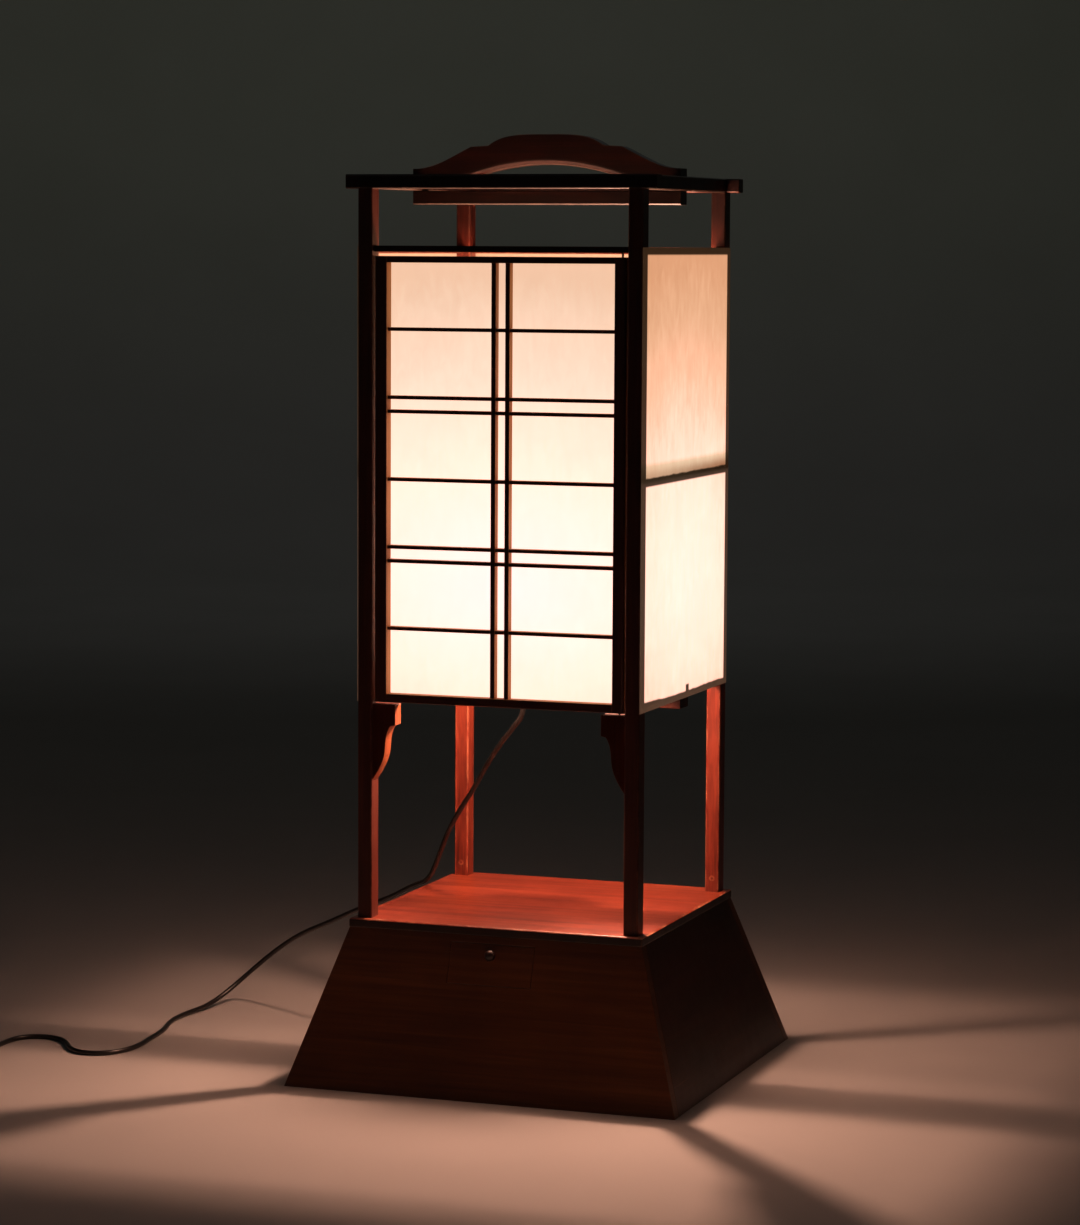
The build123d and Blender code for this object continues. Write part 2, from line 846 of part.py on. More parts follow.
with BuildPart() as back_paper:
    block(
        (-half_width, half_width),
        (half_depth, half_depth + paper_thickness),
        (paper_bottom, paper_top),
    )
write(back_paper, "back_paper")

# ------------------------------------------------------------------ crossbar and pegs
with BuildPart() as lamp_crossbar:
    block(
        (-half_width, half_width),
        (-crossbar_width / 2, crossbar_width / 2),
        (crossbar_bottom, crossbar_top),
    )
    chamfer(lamp_crossbar.edges().filter_by(Axis.X), crossbar_edge)
    with Locations((0, 0, crossbar_top)):
        Cylinder(nipple_diameter / 2 + peg_gap, 3 * crossbar_height, mode=Mode.SUBTRACT)
    for side in (-1, 1):
        with Locations((side * side_tenon_x, crossbar_peg_offset, crossbar_top)):
            Cylinder(peg_diameter / 2 + peg_gap, 3 * crossbar_height, mode=Mode.SUBTRACT)
    with Locations((bush_offset, 0, crossbar_bottom)):
        Cone(
            bush_waist_diameter / 2,
            bush_top_diameter / 2,
            crossbar_height,
            align=(Align.CENTER, Align.CENTER, Align.MIN),
            mode=Mode.SUBTRACT,
        )
write(lamp_crossbar, "lamp_crossbar")

with BuildPart() as frame_pegs:
    peg_top = bottom_rail_level + bottom_rail_height + crossbar_peg_rise
    for side in (-1, 1):
        with Locations((side * side_tenon_x, crossbar_peg_offset, crossbar_bottom)):
            Cylinder(
                peg_diameter / 2,
                peg_top - crossbar_bottom,
                align=(Align.CENTER, Align.CENTER, Align.MIN),
            )
        with Locations((side * handle_peg_x, 0, frame_top - batten_height)):
            Cylinder(
                peg_diameter / 2,
                batten_height + top_bar_height + handle_end_height - handle_peg_cover,
                align=(Align.CENTER, Align.CENTER, Align.MIN),
            )
    for center_x, center_y in post_centers:
        peg_face = math.copysign(post_inner_y, center_y)
        peg_end = math.copysign(post_inner_y + post_peg_depth, center_y)
        with Locations(Plane(origin=(center_x, (peg_face + peg_end) / 2, post_peg_level), z_dir=(0, 1, 0))):
            Cylinder(peg_diameter / 2, post_peg_depth)
write(frame_pegs, "frame_pegs")

# ------------------------------------------------------------------ lampholder
with BuildPart() as lamp_base:
    with Locations((0, 0, crossbar_top)):
        Cylinder(
            lamp_base_diameter / 2,
            lamp_base_thickness,
            align=(Align.CENTER, Align.CENTER, Align.MIN),
        )
    fillet(lamp_base.faces().sort_by(Axis.Z)[-1].edges(), lamp_base_thickness / 3)
    with Locations((0, 0, crossbar_top)):
        Cylinder(nipple_diameter / 2 + peg_gap, 3 * lamp_base_thickness, mode=Mode.SUBTRACT)
    # Channel on the underside that brings the cord from the nipple to its bush.
    block(
        (bush_offset - bush_top_diameter / 2 - fit_gap, 0),
        (-bush_top_diameter / 2 - fit_gap, bush_top_diameter / 2 + fit_gap),
        (crossbar_top, crossbar_top + bush_rise + fit_gap),
        mode=Mode.SUBTRACT,
    )
write(lamp_base, "lamp_base")

nipple_bottom = crossbar_bottom - nut_thickness - nipple_tail
nipple_top = lamp_base_top + nipple_engagement
with BuildPart() as lamp_nipple:
    with Locations((0, 0, nipple_bottom)):
        Cylinder(
            nipple_diameter / 2,
            nipple_top - nipple_bottom,
            align=(Align.CENTER, Align.CENTER, Align.MIN),
        )
        Cylinder(
            nipple_bore / 2,
            nipple_top - nipple_bottom,
            align=(Align.CENTER, Align.CENTER, Align.MIN),
            mode=Mode.SUBTRACT,
        )
    # Its hexagon nut, a separate solid below the crossbar.
    with BuildSketch(Plane.XY.offset(crossbar_bottom)):
        RegularPolygon(nut_across_flats / 2, 6, major_radius=False)
        Circle(nipple_diameter / 2 + peg_gap, mode=Mode.SUBTRACT)
    extrude(amount=-nut_thickness)
write(lamp_nipple, "lamp_nipple")

holder_radius = holder_diameter / 2
skirt_radius = skirt_diameter / 2
skirt_bore = skirt_radius - holder_wall
key_bore_end = -holder_radius + key_bore_depth
with BuildPart() as lampholder_body:
    with BuildSketch(Plane.XZ):
        Polygon(
            (nipple_diameter / 2 + peg_gap, lamp_base_top),
            (holder_radius, lamp_base_top),
            (holder_radius, housing_top),
            (skirt_radius, housing_top + skirt_flare),
            (skirt_radius, holder_top),
            (skirt_bore, holder_top),
            (skirt_bore, housing_top),
            (0, housing_top),
            (0, nipple_top + fit_gap),
            (nipple_diameter / 2 + peg_gap, nipple_top + fit_gap),
            align=None,
        )
    revolve(axis=Axis.Z)
    with Locations(Plane(origin=(0, -holder_radius, key_axis_z), z_dir=(0, 1, 0))):
        Cylinder(
            key_shaft_diameter / 2 + key_running_gap,
            2 * (key_bore_depth + fit_gap),
            mode=Mode.SUBTRACT,
        )
write(lampholder_body, "lampholder_body")

shell_bore = cap_diameter / 2 + cap_clearance
with BuildPart() as screw_shell:
    with Locations((0, 0, housing_top)):
        Cylinder(
            shell_bore + screw_shell_wall,
            screw_shell_height,
            align=(Align.CENTER, Align.CENTER, Align.MIN),
        )
        Cylinder(
            shell_bore,
            screw_shell_height,
            align=(Align.CENTER, Align.CENTER, Align.MIN),
            mode=Mode.SUBTRACT,
        )
write(screw_shell, "screw_shell")

shaft_end = -holder_radius - key_shaft_reach
with BuildPart() as switch_key:
    with Locations(Plane(origin=(0, shaft_end, key_axis_z), z_dir=(0, 1, 0))):
        Cylinder(
            key_shaft_diameter / 2,
            key_bore_end - shaft_end,
            align=(Align.CENTER, Align.CENTER, Align.MIN),
        )
    block(
        (-key_paddle_thickness / 2, key_paddle_thickness / 2),
        (shaft_end - key_paddle_length, shaft_end),
        (key_axis_z - key_paddle_height / 2, key_axis_z + key_paddle_height / 2),
    )
    fillet(switch_key.edges().filter_by(Axis.X), key_paddle_length / 3)
write(switch_key, "switch_key")

# ------------------------------------------------------------------ bulb
with BuildPart() as bulb_cap:
    with Locations((0, 0, housing_top)):
        Cylinder(
            contact_diameter / 2,
            contact_height,
            align=(Align.CENTER, Align.CENTER, Align.MIN),
        )
    with Locations((0, 0, cap_bottom)):
        Cylinder(cap_diameter / 2, cap_length, align=(Align.CENTER, Align.CENTER, Align.MIN))
write(bulb_cap, "bulb_cap")

shoulder = math.radians(bulb_shoulder_angle)
with BuildPart() as bulb_glass:
    for inset, mode in ((0.0, Mode.ADD), (bulb_glass_wall, Mode.SUBTRACT)):
        globe_radius = bulb_diameter / 2 - inset
        neck_radius = bulb_neck_diameter / 2 - inset
        neck_top = cap_top + bulb_neck_length
        shoulder_point = (
            globe_radius * math.cos(shoulder),
            bulb_center - globe_radius * math.sin(shoulder),
        )
        with BuildSketch(Plane.XZ):
            with BuildLine():
                Polyline(
                    (0, bulb_center + globe_radius),
                    (0, cap_top),
                    (neck_radius, cap_top),
                    (neck_radius, neck_top),
                )
                Spline(
                    (neck_radius, neck_top),
                    shoulder_point,
                    tangents=((0, 1), (math.sin(shoulder), math.cos(shoulder))),
                )
                ThreePointArc(
                    shoulder_point,
                    (globe_radius, bulb_center),
                    (0, bulb_center + globe_radius),
                )
            make_face()
        revolve(axis=Axis.Z, mode=mode)
write(bulb_glass, "bulb_glass")

stem_top = cap_top + stem_height
with BuildPart() as bulb_stem:
    with Locations((0, 0, cap_top)):
        Cylinder(stem_diameter / 2, stem_height, align=(Align.CENTER, Align.CENTER, Align.MIN))
    with Locations(Plane(origin=(0, 0, stem_top), z_dir=(1, 0, 0))):
        Cylinder(filament_diameter / 2, filament_width)
write(bulb_stem, "bulb_stem")

# ------------------------------------------------------------------ mains cord
with BuildPart() as cord_bush:
    with BuildSketch(Plane.XZ):
        with Locations((bush_offset, 0)):
            Polygon(
                (0, bush_tip),
                (bush_tip_diameter / 2, bush_tip),
                (bush_waist_diameter / 2, crossbar_bottom),
                (bush_top_diameter / 2, crossbar_top),
                (bush_top_diameter / 2, crossbar_top + bush_rise),
                (0, crossbar_top + bush_rise),
                align=None,
            )
    revolve(axis=Axis((bush_offset, 0, 0), (0, 0, 1)))
write(cord_bush, "cord_bush")

# From the bush down over the left edge of the base and along the floor to the coil.
lead_route = [
    (bush_offset, 0, bush_tip),
    (bush_offset, 0, 310),
    (-30, 3.5, 296.5),
    (-49, 11.5, 287),
    (-67, 20, 270),
    (-80, 25.5, 245),
    (-96, 32, 224),
    (-111, 39, 202),
    (-122, 43.5, 178),
    (-133, 48.5, 158.5),
    (-153, 57.5, 151),
    (-180, 71, 134),
    (-222, 91, 114.5),
    (-262, 112, 94),
    (-302, 131, 75.5),
    (-337, 145, 52),
    (-362, 144, 30),
    (-378, 125, 12.5),
    (-386, 98, 4.2),
    (-394, 66, cord_level),
    (-393, 30, cord_level),
    (-381, -8, cord_level),
    (-377, -46, cord_level),
    (-373, -76, cord_level),
    (-375, -102, cord_level),
    (-386, -122, cord_level),
    (-407, -128, cord_level),
    (-426, -117, cord_level),
    (-439, -97, cord_level),
    (-451, -83, cord_level),
    (-468, -76, cord_level),
    (-486, -80, cord_level),
    (-496, -96, cord_level),
    (-496, -120, cord_level),
    (-494, -142, cord_level),
    (-495, -162, cord_level),
    (-496, -180, cord_level),
]
# From the top layer of the coil to the plug lying beside it.
plug_axis_z = plug_height / 2 + floor_clearance
tail_level = floor_clearance + coil_height - cord_diameter / 2
tail_route = [
    (plug_start[0] + 0.6, -184, tail_level),
    (plug_start[0] + 0.5, -172, tail_level),
    (plug_start[0], -160, plug_axis_z),
    (plug_start[0], plug_start[1], plug_axis_z),
]


def bend_radii(route):
    """Radius at each inner point: as large as its two runs allow."""
    radii = []
    for before, corner, after in zip(route, route[1:], route[2:]):
        arriving = Vector(*corner) - Vector(*before)
        leaving = Vector(*after) - Vector(*corner)
        turn = math.radians(arriving.get_angle(leaving))
        radii.append(0.45 * min(arriving.length, leaving.length) / math.tan(turn / 2))
    return radii


swept_length = 0.0
with BuildPart() as cord_lead:
    for route in (lead_route, tail_route):
        radii = bend_radii(route)
        print("cord radii:", *(f"{radius:.0f}" for radius in radii))
        with BuildLine(mode=Mode.PRIVATE) as cord_path:
            FilletPolyline(*route, radius=radii)
        path_wire = cord_path.wires()[0]
        with BuildSketch(Plane(origin=path_wire @ 0, z_dir=path_wire % 0)):
            Circle(cord_diameter / 2)
        sweep(path=path_wire)
        swept_length += path_wire.length
cord_section = math.pi * cord_diameter**2 / 4
print(f"cord volume {cord_lead.part.volume:.0f}, section times length {cord_section * swept_length:.0f}")
write(cord_lead, "cord_lead")

with BuildPart() as cord_coil:
    with BuildSketch(Plane.XZ.offset(-coil_center[1])):
        with Locations((coil_center[0] + coil_mean_radius, floor_clearance + coil_height / 2)):
            RectangleRounded(coil_width, coil_height, coil_corner)
    revolve(axis=Axis((coil_center[0], coil_center[1], 0), (0, 0, 1)))
write(cord_coil, "cord_coil")

with BuildPart() as plug_body:
    with Locations((plug_start[0], plug_start[1] + plug_length / 2, plug_axis_z)):
        Box(plug_width, plug_length, plug_height)
    fillet(plug_body.edges().filter_by(Axis.Y), plug_round)
write(plug_body, "plug_body")

plug_face = plug_start[1] + plug_length
with BuildPart() as plug_pins:
    for side in (-1, 1):
        pin_center = plug_start[0] + side * plug_pin_pitch / 2
        block(
            (pin_center - plug_pin_thickness / 2, pin_center + plug_pin_thickness / 2),
            (plug_face, plug_face + plug_pin_length),
            (plug_axis_z - plug_pin_width / 2, plug_axis_z + plug_pin_width / 2),
        )
write(plug_pins, "plug_pins")
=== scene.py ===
import math

import bmesh
import bpy
from mathutils import Matrix, Vector, noise


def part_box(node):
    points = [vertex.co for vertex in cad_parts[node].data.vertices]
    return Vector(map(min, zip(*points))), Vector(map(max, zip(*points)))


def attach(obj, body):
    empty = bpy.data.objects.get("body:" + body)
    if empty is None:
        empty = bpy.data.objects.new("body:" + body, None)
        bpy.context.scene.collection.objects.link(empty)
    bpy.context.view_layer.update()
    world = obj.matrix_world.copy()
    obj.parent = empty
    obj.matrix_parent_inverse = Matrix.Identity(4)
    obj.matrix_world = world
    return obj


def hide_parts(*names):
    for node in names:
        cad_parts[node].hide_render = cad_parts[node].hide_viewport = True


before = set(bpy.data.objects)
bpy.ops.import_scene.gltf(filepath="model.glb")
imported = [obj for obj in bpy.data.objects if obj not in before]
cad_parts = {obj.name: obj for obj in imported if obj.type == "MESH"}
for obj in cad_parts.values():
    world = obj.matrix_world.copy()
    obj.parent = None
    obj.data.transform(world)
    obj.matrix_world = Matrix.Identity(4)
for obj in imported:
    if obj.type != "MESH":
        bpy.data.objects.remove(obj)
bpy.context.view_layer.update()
print("frame loaded")

mm = 0.001


class Wire:  # a shader socket that takes part in sums
    def __init__(self, shader, socket):
        self.shader = shader
        self.socket = socket

    def math(self, operation, first, second):
        return self.shader.add("ShaderNodeMath", {"operation": operation}, {0: first, 1: second})

    def __add__(self, other):
        return self.math("ADD", self, other)

    def __radd__(self, other):
        return self.math("ADD", other, self)

    def __sub__(self, other):
        return self.math("SUBTRACT", self, other)

    def __rsub__(self, other):
        return self.math("SUBTRACT", other, self)

    def __mul__(self, other):
        return self.math("MULTIPLY", self, other)

    def __rmul__(self, other):
        return self.math("MULTIPLY", other, self)

    def __truediv__(self, other):
        return self.math("DIVIDE", self, other)

    def __pow__(self, other):
        return self.math("POWER", self, other)

    def biggest(self, other):
        return self.math("MAXIMUM", self, other)


class Shader:  # one material, and the only place that makes its nodes
    def __init__(self, name):
        self.material = bpy.data.materials.new(name)
        self.material.use_nodes = True
        self.tree = self.material.node_tree
        self.tree.nodes.clear()
        self.place = self.add("ShaderNodeTexCoord", {}, {}, "Object")

    def add(self, kind, settings, inputs, output=0):
        node = self.tree.nodes.new(kind)
        for name, value in settings.items():
            if name == "stops":
                self.setStops(node.color_ramp, value)
            else:
                setattr(node, name, value)
        for name, value in inputs.items():
            if isinstance(value, Wire):
                self.tree.links.new(value.socket, node.inputs[name])
            else:
                node.inputs[name].default_value = value
        return Wire(self, node.outputs[output]) if node.outputs else None

    def setStops(self, ramp, stops):
        while len(ramp.elements) < len(stops):
            ramp.elements.new(0.5)
        for element, (position, tint) in zip(ramp.elements, stops):
            element.position = position
            element.color = (*tint, 1)

    def axis(self, name):
        return self.add("ShaderNodeSeparateXYZ", {}, {0: self.place}, name)

    def stretched(self, scale):
        return self.add("ShaderNodeMapping", {}, {"Vector": self.place, "Scale": scale})

    def noise(self, vector, scale, detail, roughness=0.5, distortion=0.0):
        return self.add("ShaderNodeTexNoise", {}, {
            "Vector": vector, "Scale": scale, "Detail": detail, "Roughness": roughness,
            "Distortion": distortion,
        }, "Fac")

    def ramp(self, value, stops):
        return self.add("ShaderNodeValToRGB", {"stops": stops}, {0: value}, "Color")

    def ease(self, value, low, high, start=0.0, end=1.0):
        return self.add("ShaderNodeMapRange", {"interpolation_type": "SMOOTHSTEP"}, {
            "Value": value, "From Min": low, "From Max": high, "To Min": start, "To Max": end,
        }, "Result")

    def rise(self, value, level, soft):
        return self.ease(value, level - soft, level + soft)

    def fall(self, value, level, soft):
        return self.ease(value, level - soft, level + soft, 1.0, 0.0)

    def band(self, value, low, high, soft):
        return self.rise(value, low, soft) * self.fall(value, high, soft)

    def blend(self, share, first, second, mode="MIX"):
        return self.add("ShaderNodeMix", {"data_type": "RGBA", "blend_type": mode}, {
            0: share, 6: first, 7: second,
        }, 2)

    def tinted(self, base, tint):
        return self.blend(1.0, base, tint, "MULTIPLY")

    def channels(self, red, green, blue):
        return self.add("ShaderNodeCombineXYZ", {}, {0: red, 1: green, 2: blue})

    def bump(self, height, distance):
        return self.add("ShaderNodeBump", {}, {
            "Height": height, "Distance": distance, "Strength": 0.5,
        }, "Normal")

    def finish(self, inputs):
        surface = self.add("ShaderNodeBsdfPrincipled", {}, inputs, "BSDF")
        self.add("ShaderNodeOutputMaterial", {}, {"Surface": surface})
        return self.material


def opaque(tint):
    return (*tint, 1)


def scaled(tint, share):
    return tuple(channel * share for channel in tint)


# Wood: the grain runs along one axis, and the arrises are rubbed paler than the faces.
lacquer = {
    "shadow": (0.070, 0.0100, 0.0055),
    "body": (0.190, 0.0290, 0.0150),
    "glow": (0.330, 0.0600, 0.0300),
    "worn": (0.62, 0.250, 0.120),
    "grainLength": 0.035,
    "streakScale": 380.0,
    "cloudScale": 14.0,
    "contrast": 1.7,
    "edgeRadius": 0.0018,
    "wear": 0.70,
    "gloss": 1.0,
    "darkenedAbove": 0.0,  # how far it is darkened above the papers
}
darkenedTopWood = dict(lacquer, darkenedAbove=0.78, contrast=2.8, grainLength=0.08)
# the brackets' inner faces, lighter where the bulb lights them: painted light
litScrollWood = dict(lacquer, body=(0.230, 0.0600, 0.0200), glow=(0.360, 0.1100, 0.0400))
sootyWood = dict(
    lacquer, shadow=(0.034, 0.0080, 0.0050), body=(0.076, 0.0165, 0.0100),
    glow=(0.130, 0.0300, 0.0180), worn=(0.38, 0.130, 0.070), wear=0.50)
mattWood = dict(sootyWood, gloss=0.1)
blackWood = dict(
    lacquer, shadow=(0.007, 0.0028, 0.0020), body=(0.019, 0.0056, 0.0040),
    glow=(0.066, 0.0130, 0.0082), worn=(0.25, 0.080, 0.042), wear=0.40, cloudScale=26.0)
# a pale copy for the faces of bars and rails that catch the light: painted highlight
paleLitWood = dict(
    lacquer, shadow=(0.026, 0.0150, 0.0105), body=(0.070, 0.0420, 0.0310),
    glow=(0.170, 0.1100, 0.0820), worn=(0.34, 0.240, 0.190), wear=0.60)
# the base board's top, bright red where the bulb lights it: painted light; its edges take the black
# wood as painted shade
boardWood = dict(
    lacquer, shadow=(0.140, 0.0180, 0.0070), body=(0.270, 0.0420, 0.0160),
    glow=(0.400, 0.0820, 0.0330), worn=(0.80, 0.420, 0.240), streakScale=200.0, cloudScale=9.0,
    edgeRadius=0.0030, wear=0.80, contrast=2.5)
slopeWood = dict(
    boardWood, shadow=(0.050, 0.0130, 0.0032), body=(0.115, 0.0310, 0.0066),
    glow=(0.200, 0.0600, 0.0140), worn=(0.22, 0.080, 0.035), edgeRadius=0.0018, wear=0.40,
    contrast=1.9)
sideWood = dict(
    slopeWood, shadow=(0.022, 0.0060, 0.0024), body=(0.050, 0.0130, 0.0045),
    glow=(0.090, 0.0250, 0.0090))
# the orange of the door woods' sides, where the papers light them: painted light
litDoorWood = dict(
    lacquer, shadow=(0.300, 0.1100, 0.0360), body=(0.580, 0.2600, 0.0900),
    glow=(0.740, 0.3900, 0.1600), worn=(0.70, 0.380, 0.170), edgeRadius=0.0008, wear=0.45,
    gloss=0.25)
bareWood = dict(
    lacquer, shadow=(0.220, 0.1250, 0.0620), body=(0.370, 0.2350, 0.1250),
    glow=(0.500, 0.3500, 0.2050), worn=(0.42, 0.290, 0.170), streakScale=260.0,
    edgeRadius=0.0008, wear=0.30)

figure = {
    "streaks": 0.40,  # these three are shares of the tone
    "rings": 0.32,
    "clouds": 0.28,
    "ringWidth": 6,  # in streaks
    "poresPerStreak": 2.4,
    "arris": (0.995, 0.93),  # cosines between the rounded normal and the flat one
    "rubScale": 55.0,
    "rubbed": (0.40, 0.62),
    "scratchScale": 150.0,
    "scratched": (0.67, 0.76),
    "scratchedClouds": (0.50, 0.62),
    "scratches": 0.35,
    "darkeningLevels": (0.745, 0.785),  # the levels between which the darkening sets in
    "smokeDrift": 0.02,
    "roughness": 0.30,
    "mattRoughness": 0.35,
    "rubRoughness": 0.20,
    "wearRoughness": 0.25,
    "specular": 0.45,
    "coat": 0.25,
    "coatLost": 0.2,
    "coatRoughness": 0.25,
    "relief": 0.00014,
    "streakRelief": 0.6,
    "poreRelief": 0.4,
}


def wood(name, grain, palette):
    s = Shader(name)
    scale = [1.0, 1.0, 1.0]
    scale["xyz".index(grain)] = palette["grainLength"]
    along = s.stretched(scale)
    fine = palette["streakScale"]
    cloud = s.noise(s.place, palette["cloudScale"], detail=3.0, roughness=0.55)
    streak = s.noise(along, fine, detail=5.0, roughness=0.6, distortion=0.4)
    ring = s.noise(along, fine / figure["ringWidth"], detail=3.0, distortion=1.2)
    pore = s.noise(along, fine * figure["poresPerStreak"], detail=2.0)
    mixed = streak * figure["streaks"] + ring * figure["rings"] + cloud * figure["clouds"]
    tone = (mixed - 0.5) * palette["contrast"] + 0.5
    base = s.ramp(tone, [
        (0.15, palette["shadow"]), (0.52, palette["body"]), (0.88, palette["glow"]),
    ])

    # an arris is where the rounded normal leaves the flat one
    rounded = s.add("ShaderNodeBevel", {"samples": 4}, {"Radius": palette["edgeRadius"]})
    flat = s.add("ShaderNodeNewGeometry", {}, {}, "Normal")
    facing = s.add(
        "ShaderNodeVectorMath", {"operation": "DOT_PRODUCT"}, {0: rounded, 1: flat}, "Value")
    rub = s.noise(s.place, figure["rubScale"], detail=4.0, roughness=0.65)
    wear = s.ease(facing, *figure["arris"]) * s.ease(rub, *figure["rubbed"]) * palette["wear"]
    line = s.noise(along, figure["scratchScale"], detail=3.0, roughness=0.7)
    scratch = s.ease(line, *figure["scratched"]) * s.ease(cloud, *figure["scratchedClouds"])
    worn = wear.biggest(scratch * figure["scratches"])
    base = s.blend(worn, base, opaque(palette["worn"]))
    # darker above the papers, by height
    if palette["darkenedAbove"]:
        level = s.axis("Z") + cloud * figure["smokeDrift"]
        smoke = s.ease(level, *figure["darkeningLevels"]) * palette["darkenedAbove"]
        base = s.blend(smoke, base, opaque(blackWood["shadow"]))

    gloss = palette["gloss"]
    matt = figure["roughness"] + figure["mattRoughness"] * (1 - gloss)
    relief = streak * figure["streakRelief"] + pore * figure["poreRelief"]
    return s.finish({
        "Base Color": base,
        "Roughness": matt + rub * figure["rubRoughness"] + wear * figure["wearRoughness"],
        "Specular IOR Level": figure["specular"] * gloss,
        "Coat Weight": figure["coat"] * gloss - figure["coatLost"] * gloss * wear,
        "Coat Roughness": figure["coatRoughness"],
        "Normal": s.bump(relief, figure["relief"]),
    })


woodUpright, woodAcross, woodDeep = (
    wood("lacquered_wood_" + grain, grain, lacquer) for grain in "zxy")
darkenedTopUpright = wood("darkened_top_wood_z", "z", darkenedTopWood)
sootyUpright, sootyAcross = (wood("sooty_wood_" + grain, grain, sootyWood) for grain in "zx")
blackAcross, blackDeep = (wood("black_wood_" + grain, grain, blackWood) for grain in "xy")
mattUpright = wood("matt_sooty_wood_z", "z", mattWood)
paleLitAcross, paleLitDeep = (wood("rubbed_wood_" + grain, grain, paleLitWood) for grain in "xy")
litDoorUpright, litDoorAcross = (wood("door_wood_" + grain, grain, litDoorWood) for grain in "zx")
litScrollUpright = wood("lit_scroll_wood_z", "z", litScrollWood)
litBoardAcross = wood("lit_base_board_x", "x", boardWood)
slopeAcross = wood("slope_board_x", "x", slopeWood)
slopeDeep = wood("slope_board_y", "y", sideWood)
bareUpright, bareAcross, bareDeep = (wood("bare_wood_" + grain, grain, bareWood) for grain in "zxy")
print("woods mixed")


def moulded(name, tint, roughness, speckle):
    s = Shader(name)
    grain = s.noise(s.place, 900.0, detail=3.0, roughness=0.6)
    cloud = s.noise(s.place, 45.0, detail=3.0)
    mottle = cloud * 0.7 + grain * 0.3
    return s.finish({
        "Base Color": s.ramp(mottle, [(0.3, scaled(tint, 0.72)), (0.7, scaled(tint, 1.25))]),
        "Roughness": roughness + grain * 0.12,
        "Specular IOR Level": 0.5,
        "Normal": s.bump(grain, speckle),
    })


def metal(name, tint, roughness):
    s = Shader(name)
    brushed = s.noise(s.stretched((1.0, 1.0, 14.0)), 260.0, detail=4.0, roughness=0.6)
    tarnish = s.noise(s.place, 120.0, detail=4.0, roughness=0.6)
    return s.finish({
        "Base Color": s.ramp(tarnish, [(0.35, scaled(tint, 0.45)), (0.62, tint)]),
        "Metallic": 1.0,
        "Roughness": roughness + brushed * 0.2 + s.ease(tarnish, 0.5, 0.3) * 0.2,
        "Normal": s.bump(brushed, 0.00005),
    })


bulbLight = {
    "tint": (1.0, 0.505, 0.345),
    "neck": (0.40, 0.17, 0.08),
    "neckLevels": (0.392, 0.430),  # the glow grows between these
    "strength": 26.0,
    "place": (0.004, 0.021, 0.452),
    "radius": 0.016,
    "watts": 4.1,
    "forward": (0.0, -0.9925, -0.122),
    "forwardWatts": 5.4,
    "throwPlace": (0.0, -0.035, 0.333),
    "throwSize": 0.15,
    "throwWatts": 0.42,
}


def frosted(name, light):
    s = Shader(name)
    grain = s.noise(s.place, 700.0, detail=2.0)
    lit = s.ease(s.axis("Z"), *light["neckLevels"])
    return s.finish({
        "Base Color": s.ramp(grain, [(0.3, (0.80, 0.77, 0.70)), (0.7, (0.92, 0.89, 0.83))]),
        "Roughness": 0.35 + grain * 0.1,
        "Emission Color": s.ramp(lit, [(0.0, light["neck"]), (1.0, light["tint"])]),
        "Emission Strength": light["strength"],
    })


phenolic = moulded("dark_phenolic", (0.030, 0.016, 0.010), 0.22, 0.00004)
sheath = moulded("cord_sheath", (0.010, 0.0082, 0.0075), 0.30, 0.00006)
brass = metal("dull_brass", (0.62, 0.44, 0.20), 0.26)
steel = metal("plain_steel", (0.46, 0.45, 0.43), 0.30)
frostedGlass = frosted("frosted_bulb_glass", bulbLight)
print("finishes mixed")


def newPiece(name, bm, body, material, nodes, smooth=False):
    mesh = bpy.data.meshes.new(name)
    bm.to_mesh(mesh)
    bm.free()
    mesh.materials.append(material)
    piece = bpy.data.objects.new(name, mesh)
    bpy.context.scene.collection.objects.link(piece)
    if smooth:
        for face in mesh.polygons:
            face.use_smooth = True
    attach(piece, body)
    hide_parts(*nodes)
    return piece


# Wooden pieces keep their node's shape, with the arrises taken off by the plane.
plane = {
    "angle": math.radians(32),
    "segments": 2,
    "sameFace": math.radians(0.5),
    "weld": 0.01 * mm,
}
arch = {
    "halfLength": 68 * mm,
    "foot": 809.4 * mm,
    "crown": 822 * mm,
    "slack": 0.3 * mm,
    "round": 5.5 * mm,
    "segments": 5,
}
lean = {"down": -0.2, "up": 0.6, "aside": 0.5}  # of a face's normal


def nodeCopy(node):
    bm = bmesh.new()
    bm.from_mesh(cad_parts[node].data)
    bmesh.ops.remove_doubles(bm, verts=bm.verts, dist=plane["weld"])
    bmesh.ops.dissolve_limit(bm, angle_limit=plane["sameFace"], verts=bm.verts, edges=bm.edges)
    return bm


def takeArrises(piece, width):
    bevel = piece.modifiers.new("arrises", "BEVEL")
    bevel.width = width
    bevel.segments = plane["segments"]
    bevel.limit_method = "ANGLE"
    bevel.angle_limit = plane["angle"]
    bevel.use_clamp_overlap = True


def onArch(edge):
    low, high = sorted(vertex.co.z for vertex in edge.verts)
    flush = abs(edge.verts[0].co.y - edge.verts[1].co.y) < arch["slack"]
    reach = max(abs(vertex.co.x) for vertex in edge.verts)
    between = arch["foot"] + arch["slack"] < high < arch["crown"]
    return flush and reach < arch["halfLength"] and between


def roundArch(bm):
    # fingers go under here, so its two edges are rounded more than the rest
    edges = [edge for edge in bm.edges if onArch(edge)]
    bmesh.ops.bevel(
        bm, geom=edges, offset=arch["round"], segments=arch["segments"], affect="EDGES",
        profile=0.5, material=-1, clamp_overlap=True)


def looksDown(normal):
    return normal.z < lean["down"]


def looksUp(normal):
    return normal.z > lean["up"]


def looksAside(normal):
    return abs(normal.y) < lean["aside"]


def looksInward(normal):
    return looksAside(normal) and normal.z < lean["up"]


